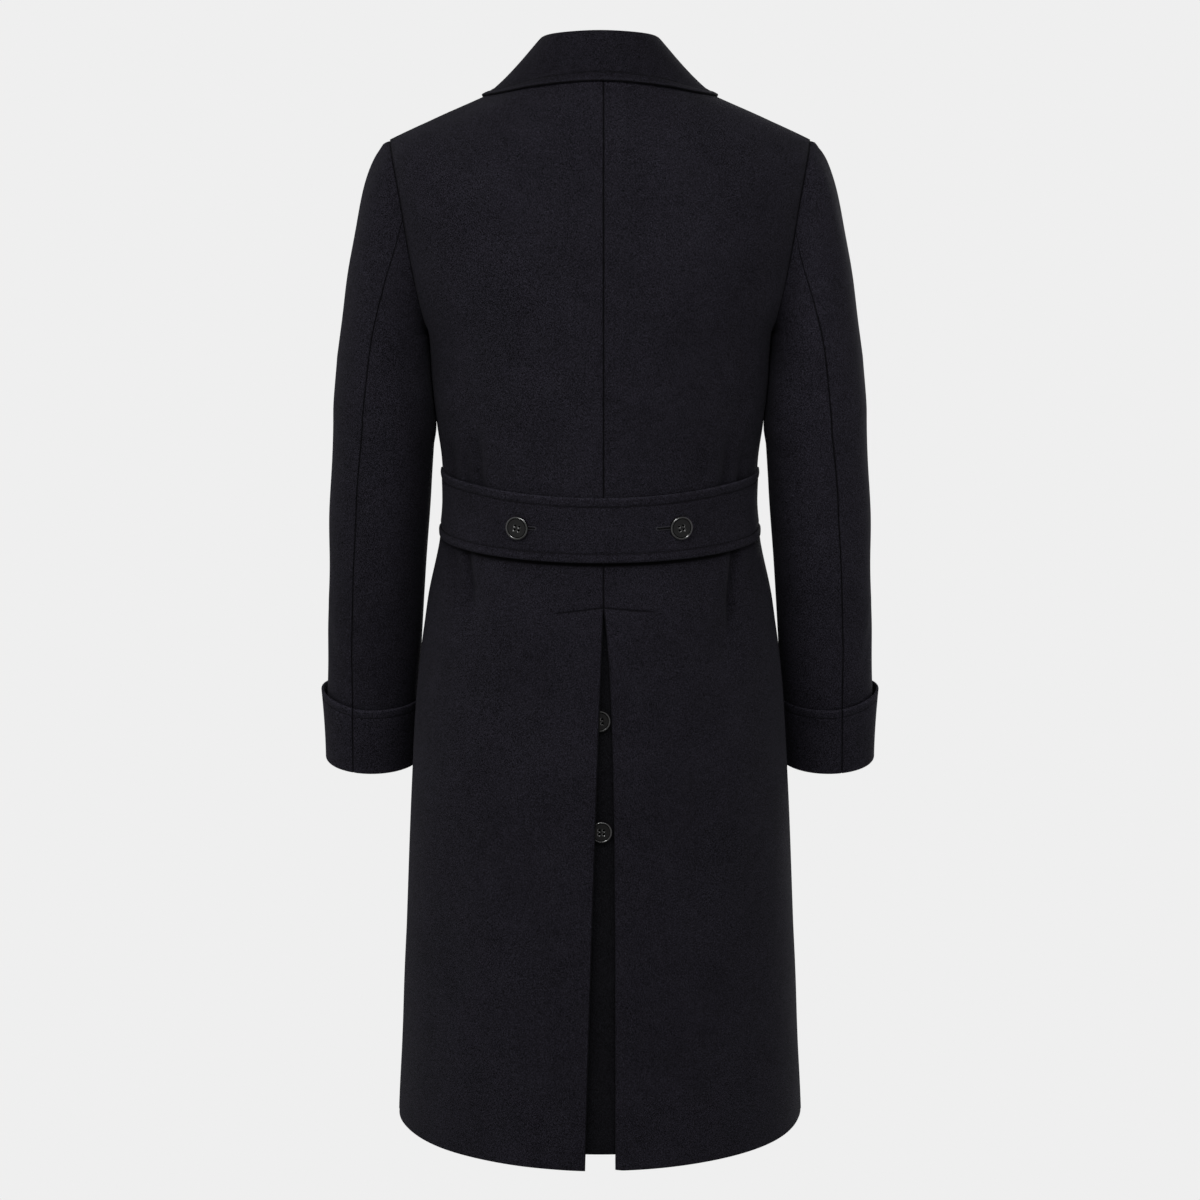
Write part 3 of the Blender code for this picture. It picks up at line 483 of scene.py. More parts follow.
@dataclass(frozen=True)
class Torso:
    """The form that the body panels hang in, as rows from one edge through the centre to the other."""

    roundness: float = 0.562  # Handle length of a row's curve. 0.55 would make it an ellipse.
    shoulder_slope: float = 0.5  # How steeply rows rise where they turn inward at the shoulder
    rise_start: float = -0.150
    rise_full: float = -0.080
    neck_point: Triple = (0.078, 0.0, 0.0)
    shoulder_sag: float = 0.0045
    sag_bias: float = 2.4
    neck_back_height: float = 0.018
    neck_front_height: float = -0.070
    samples: int = 200
    sections: Spline = Spline(SECTIONS)
    back: Spline = Spline(CENTRE_BACK)
    front: Spline = Spline(CENTRE_FRONT)
    armholes: Spline = Spline(ARMHOLE)

    def centre(self, face: Face, heights: Array) -> Array:
        """Points of a face's centre line at the heights."""
        curve = self.back if face is Face.BACK else self.front
        return np.stack([np.zeros_like(heights), curve(heights)[:, 1], heights], axis=1)

    def skirt(self, face: Face, heights: Array) -> Rows:
        """Rows below the armpit, where back and front meet at the side seam."""
        edge = np.stack([*self.sections(heights).T[1:3], heights], axis=1)
        return Rows(self.centre(face, heights), edge, np.zeros_like(heights))

    def armhole(self, face: Face, shares: Array) -> Rows:
        """Rows that end at the armhole.

        Args:
            face: Which face.
            shares: Places from 0 at the underarm to 1 at the shoulder point.

        Returns:
            The rows.
        """
        row = self.armholes(shares)
        first = 3 if face is Face.BACK else 7
        heights = row[:, 1 if face is Face.BACK else 2]
        return Rows(self.centre(face, heights), row[:, first : first + 3], row[:, first + 3])

    def shoulder(self, face: Face, shares: Array) -> Rows:
        """Rows that end at the shoulder seam.

        Args:
            face: Which face.
            shares: Places from 0 at the shoulder point to 1 at the neck.

        Returns:
            The rows.
        """
        start = ARMHOLE[-1]
        corner = np.array([start.back_x, start.back_y, start.back_z])
        sag = self.shoulder_sag * np.sin(math.pi * shares**self.sag_bias)
        edge = corner + shares[:, None] * (np.array(self.neck_point) - corner)
        edge[:, 2] -= sag
        low = start.back_height if face is Face.BACK else start.front_height
        high = self.neck_back_height if face is Face.BACK else self.neck_front_height
        turn = (start.back_turn if face is Face.BACK else start.front_turn) * (1 - shares)
        return Rows(self.centre(face, low + shares * (high - low)), edge, turn)

    def rows(self, face: Face, heights: Array, armhole: Array, shoulder: Array) -> Rows:
        """Rows of a whole face: at heights from the hem, then at shares of the armhole and shoulder."""
        parts = (self.skirt(face, heights), self.armhole(face, armhole), self.shoulder(face, shoulder))
        return Rows(*(np.concatenate(column) for column in zip(*parts)))

    def lines(self, rows: Rows) -> Array:
        """The curve of each row.

        Args:
            rows: The rows.

        Returns:
            Rows by samples by 3, from the right edge through the centre to the left edge.
        """
        angle = np.radians(rows.turn)
        reach = self.roundness * (rows.centre[:, 1] - rows.edge[:, 1]) / np.cos(angle)
        inward = np.sin(angle) * np.abs(reach)
        rise = self.shoulder_slope * inward * ease(self.rise_start, self.rise_full, rows.edge[:, 2])
        leave = rows.centre + np.stack([self.roundness * rows.edge[:, 0], 0 * rise, 0 * rise], axis=1)
        arrive = rows.edge + np.stack([-inward, np.cos(angle) * reach, rise], axis=1)
        left = curves(self.samples, rows.centre, leave, arrive, rows.edge)
        return np.concatenate([mirrored(left[:, :0:-1]), left], axis=1)


class Surface:
    """One face of the torso as a depth at each place across and height."""

    STEP = 0.004

    def __init__(self, torso: Torso, face: Face) -> None:
        """Draws the face's rows.

        Args:
            torso: The torso.
            face: Which face of it.
        """
        heights = np.linspace(HEM, ARMPIT, 120)
        shares = np.linspace(0, 1, 41)[1:]
        self.face = face
        self.lines = torso.lines(torso.rows(face, heights, shares, shares))

    def depth(self, x: Array, z: Array) -> Array:
        """Depth of the face.

        Args:
            x: Places across.
            z: Heights.

        Returns:
            Their Y on the face.
        """
        heights = np.array([np.interp(x, line[:, 0], line[:, 2]) for line in self.lines]).T
        depths = np.array([np.interp(x, line[:, 0], line[:, 1]) for line in self.lines]).T
        return np.array([np.interp(at, *pair) for at, *pair in zip(z, heights, depths)])

    def at(self, x: Array, z: Array) -> tuple[Array, Array]:
        """Points of the face and their outward directions.

        Args:
            x: Places across.
            z: Heights.

        Returns:
            Points and unit directions, with a last axis of 3.
        """
        shape = np.shape(x)
        x, z = np.ravel(x).astype(float), np.ravel(z).astype(float)
        slope_x = (self.depth(x + self.STEP, z) - self.depth(x - self.STEP, z)) / (2 * self.STEP)
        slope_z = (self.depth(x, z + self.STEP) - self.depth(x, z - self.STEP)) / (2 * self.STEP)
        facing = self.face.value * unit(np.stack([-slope_x, np.ones_like(x), -slope_z], axis=1))
        points = np.stack([x, self.depth(x, z), z], axis=1)
        return points.reshape(shape + (3,)), facing.reshape(shape + (3,))


class Value:
    """A number in a material's graph, on which the operators add Math nodes."""

    def __init__(self, graph: "Graph", socket: bpy.types.NodeSocket) -> None:
        """Wraps an output socket of a graph's node."""
        self.graph = graph
        self.socket = socket

    def __add__(self, other: "Value | float") -> "Value":
        """The sum."""
        return self.graph.maths("ADD", self, other)

    def __sub__(self, other: "Value | float") -> "Value":
        """The difference."""
        return self.graph.maths("SUBTRACT", self, other)

    def __rsub__(self, other: float) -> "Value":
        """The difference from a number."""
        return self.graph.maths("SUBTRACT", other, self)

    def __mul__(self, other: "Value | float") -> "Value":
        """The product."""
        return self.graph.maths("MULTIPLY", self, other)

    __radd__ = __add__
    __rmul__ = __mul__


class Graph:
    """The nodes of a material or of the light all round."""

    def __init__(self, owner: Material | bpy.types.World) -> None:
        """Starts with the nodes of a new material or world.

        Args:
            owner: The material or world.
        """
        owner.use_nodes = True
        self.owner = owner
        self.tree = owner.node_tree

    @staticmethod
    def find(sockets: Iterable[bpy.types.NodeSocket], name: str) -> bpy.types.NodeSocket:
        """The socket with an identifier, or else with a name."""
        named = {socket.name: socket for socket in sockets}
        return {**named, **{socket.identifier: socket for socket in sockets}}[name]

    def feed(self, node: bpy.types.Node, name: str, value: object) -> None:
        """Sets or links one input of a node.

        Args:
            node: The node.
            name: The input's identifier or name.
            value: A number, colour or output.
        """
        socket = self.find(node.inputs, name)
        if isinstance(value, Value):
            self.tree.links.new(value.socket, socket)
        else:
            socket.default_value = value

    def node(self, kind: str, output: str, settings: dict[str, object], **sockets: object) -> Value:
        """Adds a node.

        Args:
            kind: The node's type.
            output: The output that is wanted.
            settings: The node's own settings, which are set first.
            sockets: Values or links of its inputs.

        Returns:
            The output.
        """
        node = self.tree.nodes.new(kind)
        for name, value in settings.items():
            setattr(node, name, value)
        for name, value in sockets.items():
            self.feed(node, name, value)
        return Value(self, self.find(node.outputs, output))

    def maths(self, operation: str, first: "Value | float", second: "Value | float") -> Value:
        """Adds a Math node."""
        settings = {"operation": operation}
        return self.node("ShaderNodeMath", "Value", settings, Value=first, Value_001=second)

    def noise(self, place: Value, scale: float, detail: float, roughness: float = 0.5) -> Value:
        """Adds noise, from 0 to 1, with so many swells a metre and finer swells of a share of them."""
        sockets = {"Vector": place, "Scale": scale, "Detail": detail, "Roughness": roughness}
        return self.node("ShaderNodeTexNoise", "Fac", {}, **sockets)

    def turned(self, place: Value, degrees: Triple, stretch: Triple = (1.0, 1.0, 1.0)) -> Value:
        """Adds a mapping that turns a pattern and stretches it."""
        angles = tuple(map(math.radians, degrees))
        return self.node("ShaderNodeMapping", "Vector", {}, Vector=place, Rotation=angles, Scale=stretch)

    def mixed(self, share: Value, first: Colour, second: Colour) -> Value:
        """Adds a mix of two colours."""
        sockets = {"Factor_Float": share, "A_Color": first, "B_Color": second}
        return self.node("ShaderNodeMix", "Result_Color", {"data_type": "RGBA"}, **sockets)

    def scaled(self, colour: Value | tuple[float, ...], brightness: Value) -> Value:
        """Adds a colour made brighter or darker."""
        settings = {"operation": "SCALE"}
        return self.node("ShaderNodeVectorMath", "Vector", settings, Vector=colour, Scale=brightness)

    def bump(self, height: Value, strength: float, distance: float) -> Value:
        """Adds a relief of the surface."""
        return self.node("ShaderNodeBump", "Normal", {}, Height=height, Strength=strength, Distance=distance)

    def surface(self, **sockets: object) -> Material:
        """Feeds the shader.

        Args:
            sockets: Values or links of its inputs, with _ for the spaces in their names.

        Returns:
            The material.
        """
        shader = self.tree.nodes["Principled BSDF"]
        for name, value in sockets.items():
            self.feed(shader, name.replace("_", " "), value)
        return self.owner


@dataclass(frozen=True)
class WoolFinish:
    """Near-black navy melton: a brushed nap with soft clouds, fine flecks and a faint slanting grain."""

    name: str = "navy_melton"
    tone: float = 1.0  # How much brighter or darker this copy of the cloth is painted, as light and shade on its pieces
    navy: Colour = (0.0097, 0.0089, 0.0128, 1.0)
    charcoal: Colour = (0.0095, 0.0089, 0.0122, 1.0)
    cloud: float = 1.20  # How much the clouds change the brightness
    fleck: float = 5.40
    grain: float = 0.90
    crush: float = 0.94  # How much the painted shade darkens the cloth and the painted light brightens it: in folds, along seams, edges and stitches, under the belt and on the inner arms
    sheen: float = 0.020

    def material(self) -> Material:
        """Makes the material.

        Returns:
            The material.
        """
        graph = Graph(bpy.data.materials.new(self.name))
        place = graph.node("ShaderNodeTexCoord", "Object", {})
        cloth = graph.node("ShaderNodeUVMap", "UV", {"uv_map": "cloth"})
        # Each point's painted light and shade, which lightens or darkens the colour
        pressed = graph.node("ShaderNodeAttribute", "Fac", {"attribute_name": "pressed"})
        clouds = self.cloud * (graph.noise(place, 16, 5, 0.85) - 0.5)
        flecks = graph.noise(graph.turned(place, (31, 17, 43)), 1350, 0) - 0.5
        rising = graph.noise(graph.turned(cloth, (0, 0, 45), (1.0, 0.4, 1.0)), 1050, 0) - 0.5
        falling = graph.noise(graph.turned(cloth, (0, 0, -45), (1.0, 0.4, 1.0)), 1050, 0) - 0.5
        nap = self.fleck * flecks + self.grain * (rising + falling)
        brightness = graph.maths("MAXIMUM", self.tone * (1 + clouds + nap), 0.08)
        hue = graph.noise(place, 26, 3)
        colour = graph.mixed(hue, self.navy, self.charcoal)
        return graph.surface(
            Base_Color=graph.scaled(colour, brightness * (1 - self.crush * pressed)),
            Normal=graph.bump(nap, 0.25, 0.0004),
            Roughness=0.95,
            Specular_IOR_Level=0.06,
            Sheen_Weight=self.sheen,
            Sheen_Roughness=0.45,
            Sheen_Tint=(0.85, 0.85, 1.0, 1.0),
        )


@dataclass(frozen=True)
class ThreadFinish:
    """Twisted sewing thread."""

    name: str = "black_thread"
    colour: Colour = (0.0032, 0.0031, 0.0038, 1.0)

    def material(self) -> Material:
        """Makes the material.

        Returns:
            The material.
        """
        graph = Graph(bpy.data.materials.new(self.name))
        place = graph.node("ShaderNodeTexCoord", "Object", {})
        fray = graph.noise(place, 2400, 1)
        brightness = 0.6 + 0.8 * fray
        colour = graph.scaled(self.colour[:3], brightness)
        bump = graph.bump(fray, 0.3, 0.0002)
        return graph.surface(Base_Color=colour, Normal=bump, Roughness=0.75, Specular_IOR_Level=0.1)


@dataclass(frozen=True)
class HornFinish:
    """Dark polished horn with faint streaks."""

    name: str = "dark_horn"
    dark: Colour = (0.0028, 0.0028, 0.0030, 1.0)
    streak: Colour = (0.0075, 0.0073, 0.0071, 1.0)
    polish: float = 1.0
    softness: float = 0.20

    def material(self) -> Material:
        """Makes the material.

        Returns:
            The material, duller on the face, and painted near black as shade where the button is hollowed.
        """
        graph = Graph(bpy.data.materials.new(self.name))
        place = graph.node("ShaderNodeTexCoord", "Object", {})
        dull = graph.node("ShaderNodeAttribute", "Fac", {"attribute_name": "dull"})
        streaks = graph.noise(graph.turned(place, (0, 0, 24), (1.0, 0.3, 0.3)), 420, 3)
        colour = graph.mixed(streaks, self.dark, self.streak)
        # Painted shade: the horn is near black in the groove and on the holes' walls
        return graph.surface(
            Base_Color=graph.scaled(colour, 1 - 0.9 * graph.maths("GREATER_THAN", dull, 0.95)),
            Normal=graph.bump(graph.noise(place, 1500, 2), 0.05, 0.0002),
            Roughness=0.6,
            Specular_IOR_Level=0.0,
            Coat_Weight=self.polish * (1 - dull),
            Coat_Roughness=self.softness,
            Coat_IOR=1.9,
        )


class Skin(NamedTuple):
    """The middle of a sheet: points, directions, half thickness, share of it left, and its painted light and
    shade.
    """

    middle: Array
    normals: Array
    half: Array
    cover: Array
    pressed: Array


@dataclass
class Sheet:
    """A sheet of cloth, as a grid of points on its outer side."""

    points: Array
    outward: Array
    thickness: Array | float
    # Sides whose edge isn't a half circle, with the share of it that they bulge
    rounding: dict[Side, float] = field(default_factory=dict)
    rows: tuple[tuple[Side, float], ...] = ()  # Rows of stitches, each as a side and a distance from it
    span: tuple[int | None, int | None] = (None, None)  # The points between which those rows are sewn
    folds: Array | float = 0.0  # Painted shade in folds, under the belt, along seams and on the inner arms, at each point or everywhere
    # Sides with a painted highlight along a folded edge, with how much and how far from the edge
    lit: dict[Side, Pair] = field(default_factory=dict)

    RIM = (math.radians(30), math.radians(60), math.radians(90))
    EDGE_WIDTH = 0.0010
    LIT_WIDTH = 0.0015
    ROW_WIDTH = 0.0009
    ROW_SHARE = 0.5

    def __post_init__(self) -> None:
        """Works out the outward directions."""
        self.thickness = np.broadcast_to(np.asarray(self.thickness, float), self.points.shape[:2])
        normals = unit(np.cross(np.gradient(self.points, axis=1), np.gradient(self.points, axis=0)))
        self.turned = bool(np.sum(normals * self.outward) < 0)
        self.normals = -normals if self.turned else normals

    def pushed(self, height: Array) -> "Sheet":
        """This sheet with each point moved out by a height."""
        return replace(self, points=self.points + self.normals * height[..., None])

    @staticmethod
    def inward(grid: Array, side: Side) -> Array:
        """A grid turned so that its first axis runs inward from a side."""
        axis, end = side.value
        return np.moveaxis(grid, axis, 0)[:: end or 1]

    def distance(self, side: Side) -> Array:
        """Each point's distance from the edge at a side, along the grid.

        Args:
            side: The side.

        Returns:
            Rows by columns.
        """
        axis, end = side.value
        lengths = lengths_along(np.swapaxes(self.inward(self.points, side), 0, 1)).T
        edge = np.take(self.thickness, [end], axis=axis) / 2
        return np.moveaxis(lengths[:: end or 1], 0, axis) + edge * self.rounding.get(side, 1.0)

    def line(self, side: Side, distance: float) -> tuple[Array, Array]:
        """A line on the sheet that keeps a distance from a side.

        Args:
            side: The side.
            distance: The distance.

        Returns:
            The line's points and outward directions.
        """
        grids = (self.distance(side), self.points, self.normals)
        away, points, normals = (self.inward(grid, side) for grid in grids)
        index = np.clip(np.sum(away < distance, axis=0) - 1, 0, len(away) - 2)
        column = np.arange(away.shape[1])
        low, high = away[index, column], away[index + 1, column]
        share = np.clip((distance - low) / (high - low), 0, 1)[:, None]
        line = points[index, column] * (1 - share) + points[index + 1, column] * share
        facing = normals[index, column] * (1 - share) + normals[index + 1, column] * share
        return line, unit(facing)

    def rimmed(self, skin: Skin, side: Side) -> Skin:
        """A skin with the edge at one side turned over.

        Args:
            skin: The skin.
            side: The side.

        Returns:
            The skin with three more lines of points at that side.
        """
        axis, end = side.value
        lines = Skin(*(np.moveaxis(value, axis, 0) for value in skin))
        edge = Skin(*(value[end] for value in lines))
        out = unit(edge.middle - lines.middle[-2 if end else 1])
        bulge = out * (edge.half * self.rounding.get(side, 1.0))[..., None]
        cover = [edge.cover * math.cos(angle) for angle in self.RIM[:-1]] + [0 * edge.cover]
        rim = Skin(
            np.array([edge.middle + bulge * math.sin(angle) for angle in self.RIM]),
            np.array([edge.normals] * len(self.RIM)),
            np.array([edge.half] * len(self.RIM)),
            np.array(cover),
            np.array([self.worn(side, edge.half * (1 - math.sin(angle))) for angle in self.RIM]),
        )
        parts = ((a, b) if end else (b[::-1], a) for a, b in zip(lines, rim))
        return Skin(*(np.moveaxis(np.concatenate(pair), 0, axis) for pair in parts))

    def worn(self, side: Side, distance: Array) -> Array:
        """Painted shade along an edge, less the painted highlight of a folded edge.

        Args:
            side: The edge's side.
            distance: Distances from it.

        Returns:
            Shares, below 0 where it catches the light.
        """
        light, place = self.lit.get(side, (0.0, 1.0))
        shade = bell(distance, self.EDGE_WIDTH) if place > self.LIT_WIDTH else 0.0
        return shade - light * bell(distance - place, self.LIT_WIDTH)

    def pressed(self) -> Array:
        """Painted shade in folds, along edges and in the grooves of rows of stitches, less painted light on
        folded edges.

        Returns:
            A share for each point.
        """
        total = self.folds + sum(self.worn(side, self.distance(side)) for side in Side)
        for side, distance in self.rows:
            total = total + self.ROW_SHARE * bell(self.distance(side) - distance, self.ROW_WIDTH)
        return np.clip(total, -0.6, 1)

    def skin(self) -> Skin:
        """The sheet's middle.

        Returns:
            The middle, with all four edges turned over.
        """
        half = self.thickness / 2
        middle = self.points - self.normals * half[..., None]
        skin = Skin(middle, self.normals, half, np.ones_like(half), self.pressed())
        for side in Side:
            skin = self.rimmed(skin, side)
        return skin

    def cut(self) -> tuple[Pair, float]:
        """The sheet's size before it was sewn.

        Returns:
            Its width and length, and its area.
        """
        middle = self.skin().middle
        width = lengths_along(middle)[:, -1].max()
        length = lengths_along(np.swapaxes(middle, 0, 1))[:, -1].max()
        across = np.diff(middle, axis=1)
        along = np.diff(middle, axis=0)
        area = np.linalg.norm(np.cross(across[:-1], along[:, :-1]), axis=-1).sum()
        return (round(float(width), 3), round(float(length), 3)), round(float(area), 4)

    def shell(self, name: str, material: Material) -> Object:
        """Makes the sheet's closed mesh, smooth shaded, with a map of the cloth in metres.

        Args:
            name: The piece's name.
            material: Its finish.

        Returns:
            The piece.
        """
        skin = self.skin()
        rows, columns = skin.cover.shape
        index = np.arange(rows * columns).reshape(rows, columns)
        inner = np.ones((rows, columns), bool)
        inner[[0, -1]] = False
        inner[:, [0, -1]] = False
        inside = index.copy()
        inside[inner] = rows * columns + np.arange(inner.sum())
        offset = skin.normals * (skin.half * skin.cover)[..., None]
        points = np.vstack([(skin.middle + offset).reshape(-1, 3), (skin.middle - offset)[inner]])
        faces = np.concatenate([quads(index, self.turned), quads(inside, not self.turned)])
        start = 0.013 * sum(map(ord, name))
        across = start + lengths_along(skin.middle)
        along = lengths_along(np.swapaxes(skin.middle, 0, 1)).T
        flat = np.stack([across, along], axis=-1)
        places = np.vstack([flat.reshape(-1, 2), flat[inner]])
        piece = mesh_piece(name, points, faces.tolist(), material)
        layer = piece.data.uv_layers.new(name="cloth")
        layer.data.foreach_set("uv", places[faces.ravel()].astype(np.float32).ravel())
        # The painted light and shade, for the cloth's material
        pressed = np.concatenate([skin.pressed.ravel(), skin.pressed[inner]])
        layer = piece.data.attributes.new("pressed", "FLOAT", "POINT")
        layer.data.foreach_set("value", pressed.astype(np.float32))
        return piece


def quads(index: Array, turned: bool) -> Array:
    """The four-sided faces of a grid of vertex numbers, or the same looking the other way."""
    corners = np.stack([index[:-1, :-1], index[:-1, 1:], index[1:, 1:], index[1:, :-1]], axis=-1)
    return corners.reshape(-1, 4)[:, ::-1] if turned else corners.reshape(-1, 4)


def mesh_piece(
    name: str, points: Array, faces: Iterable[Sequence[int]], material: Material
) -> Object:
    """Makes a smooth shaded piece at the origin.

    Args:
        name: The piece's name.
        points: Its vertices.
        faces: Its faces, as vertex numbers.
        material: Its finish.

    Returns:
        The piece, linked to the scene.
    """
    mesh = bpy.data.meshes.new(name)
    mesh.from_pydata(points.tolist(), [], faces)
    mesh.shade_smooth()
    mesh.materials.append(material)
    piece = bpy.data.objects.new(name, mesh)
    bpy.context.scene.collection.objects.link(piece)
    return piece


@dataclass(frozen=True)
class Finishes:
    """The coat's materials: the cloth and four copies of it painted darker or lighter as shade and light, two
    threads, and horn.
    """

    wool: Material
    # The collar and strip copies are painted darker as shade, the cuff and right sleeve copies lighter as
    # light
    collar: Material
    cuff: Material
    right_sleeve: Material
    strip: Material
    thread: Material
    cord: Material
    horn: Material


class Slot(Enum):
    """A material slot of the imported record."""

    WOOL = "wool_cloth"
    HORN = "horn_button"


def pick(*objects: Object) -> None:
    """Selects some objects and no others.

    Args:
        objects: The objects, of which the first becomes the active one.
    """
    bpy.ops.object.select_all(action="DESELECT")
    for chosen in objects:
        chosen.select_set(True)
    bpy.context.view_layer.objects.active = objects[0] if objects else None


def carry(piece: Object, slot: Slot, *nodes: str) -> Object:
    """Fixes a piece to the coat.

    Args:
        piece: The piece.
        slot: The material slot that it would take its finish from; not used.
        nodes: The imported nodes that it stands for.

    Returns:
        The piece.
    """
    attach(piece, BODY)
    if nodes:
        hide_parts(*nodes)
    LOG.info("%s: %d faces, for %s", piece.name, len(piece.data.polygons), ", ".join(nodes) or "itself")
    return piece


class Threads:
    """Short threads, each arched between two points, that are joined into one piece."""

    STATIONS = (0.0, 0.14, 0.5, 0.86, 1.0)
    HEIGHTS = (-1.1, 0.25, 0.55, 0.25, -1.1)
    GIRTHS = (0.55, 0.95, 1.0, 0.95, 0.55)
    SIDES = 6

    def __init__(self, radius: float) -> None:
        """Starts with no thread.

        Args:
            radius: Half the thickness of the thread.
        """
        self.radius = radius
        self.starts: list[Array] = []
        self.ends: list[Array] = []
        self.ups: list[Array] = []

    def add(self, starts: Array, ends: Array, ups: Array) -> None:
        """Adds threads.

        Args:
            starts: Where they start.
            ends: Where they end.
            ups: Directions in which they arch.
        """
        self.starts.append(np.reshape(starts, (-1, 3)))
        self.ends.append(np.reshape(ends, (-1, 3)))
        self.ups.append(np.reshape(ups, (-1, 3)))

    def run(self, line: Array, facing: Array, pitch: float = 0.0025, share: float = 0.56) -> None:
        """Sews a row of stitches.

        Args:
            line: The line that they follow.
            facing: Outward directions along it.
            pitch: Space from one stitch to the next.
            share: Share of that space that the stitch covers.
        """
        first = np.arange(pitch, lengths_along(line)[-1] - pitch, pitch)
        ups = unit(at_lengths(line, first, facing))
        self.add(at_lengths(line, first), at_lengths(line, first + share * pitch), ups)

    def piece(self, name: str, material: Material) -> Object:
        """Joins the threads into one piece.

        Args:
            name: The piece's name.
            material: Its finish.

        Returns:
            The piece, fixed to the coat.
        """
        starts, ends, ups = (np.concatenate(parts) for parts in (self.starts, self.ends, self.ups))
        along = unit(ends - starts)
        aside = unit(np.cross(along, ups))
        over = np.cross(aside, along)
        turns = 2 * math.pi * np.arange(self.SIDES) / self.SIDES
        ring = np.cos(turns)[:, None, None] * aside + np.sin(turns)[:, None, None] * over
        rings = []
        for station, height, girth in zip(self.STATIONS, self.HEIGHTS, self.GIRTHS):
            centre = starts + station * (ends - starts) + over * height * self.radius
            rings.append(centre + ring * girth * self.radius)
        points = np.array(rings).transpose(2, 0, 1, 3)
        count, stations, sides = points.shape[:3]
        index = np.arange(count * stations * sides).reshape(count, stations, sides)
        around = np.concatenate([index, index[..., :1]], axis=-1)
        faces: list[list[int]] = []
        for one in around:
            faces += quads(one, True).tolist()
        faces += index[:, 0].tolist()
        faces += index[:, -1, ::-1].tolist()
        return carry(mesh_piece(name, points.reshape(-1, 3), faces, material), Slot.WOOL)


def rolled(first: Array, normal: Array, out: Array, radius: float) -> Array:
    """Lines of points that roll over from the inside of a cloth.

    Args:
        first: The first line of the part that is turned back.
        normal: Its outward directions.
        out: The way that the roll bulges.
        radius: Radius of the roll.

    Returns:
        The lines, from the inside to the first line.
    """
    centre = first - normal * radius
    turns = np.linspace(math.pi, 0, 13)[:-1]
    return np.array([centre + radius * (normal * math.cos(turn) + out * math.sin(turn)) for turn in turns])


def hung(lines: Array, heights: Array, start: Array, end: Array, columns: int) -> tuple[Array, Array]:
    """A body panel that has settled along its columns, most at the armpit.

    Args:
        lines: The curves of its rows.
        heights: Heights of its rows at the centre.
        start: Length along each row at which the panel starts.
        end: Length at which it ends.
        columns: Columns of points.

    Returns:
        Its points, and their distances from the first column.
    """
    shares = end_heavy(columns)
    points = spread(lines, start, end, shares)
    inward = shares * np.abs(end - start)[:, None]
    freedom = bell(heights[:, None] - ARMPIT, 0.04) * ease(0.004, 0.04, inward[:, -1:] - inward)
    for _ in range(SETTLING_ROUNDS):
        between = (points[:-2] + points[2:]) / 2
        points[1:-1] += freedom[1:-1, :, None] * (between - points[1:-1]) / 2
    return points, inward


@dataclass
class Assembly:
    """A part of the coat, with the form that it lies on and the coat's materials."""

    torso: Torso
    finishes: Finishes

    def sew(
        self,
        sheet: Sheet,
        name: str,
        nodes: Sequence[str],
        held: str,
        rests_on: Sequence[str],
        wool: Material | None = None,
        trim: Sequence[Object] = (),
    ) -> None:
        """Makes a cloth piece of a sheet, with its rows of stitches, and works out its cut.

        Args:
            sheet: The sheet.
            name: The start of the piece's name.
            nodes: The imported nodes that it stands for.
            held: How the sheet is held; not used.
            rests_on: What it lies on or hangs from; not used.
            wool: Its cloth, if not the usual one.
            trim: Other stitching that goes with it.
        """
        trim = list(trim)
        if sheet.rows:
            sewing = Threads(STITCH)
            for side, inset in sheet.rows:
                sewing.run(*(part[slice(*sheet.span)] for part in sheet.line(side, inset)))
            trim.append(sewing.piece(f"{name}_stitching", self.finishes.thread))
        piece = carry(sheet.shell(f"{name}_cloth", wool or self.finishes.wool), Slot.WOOL, *nodes)
        flat, area = sheet.cut()


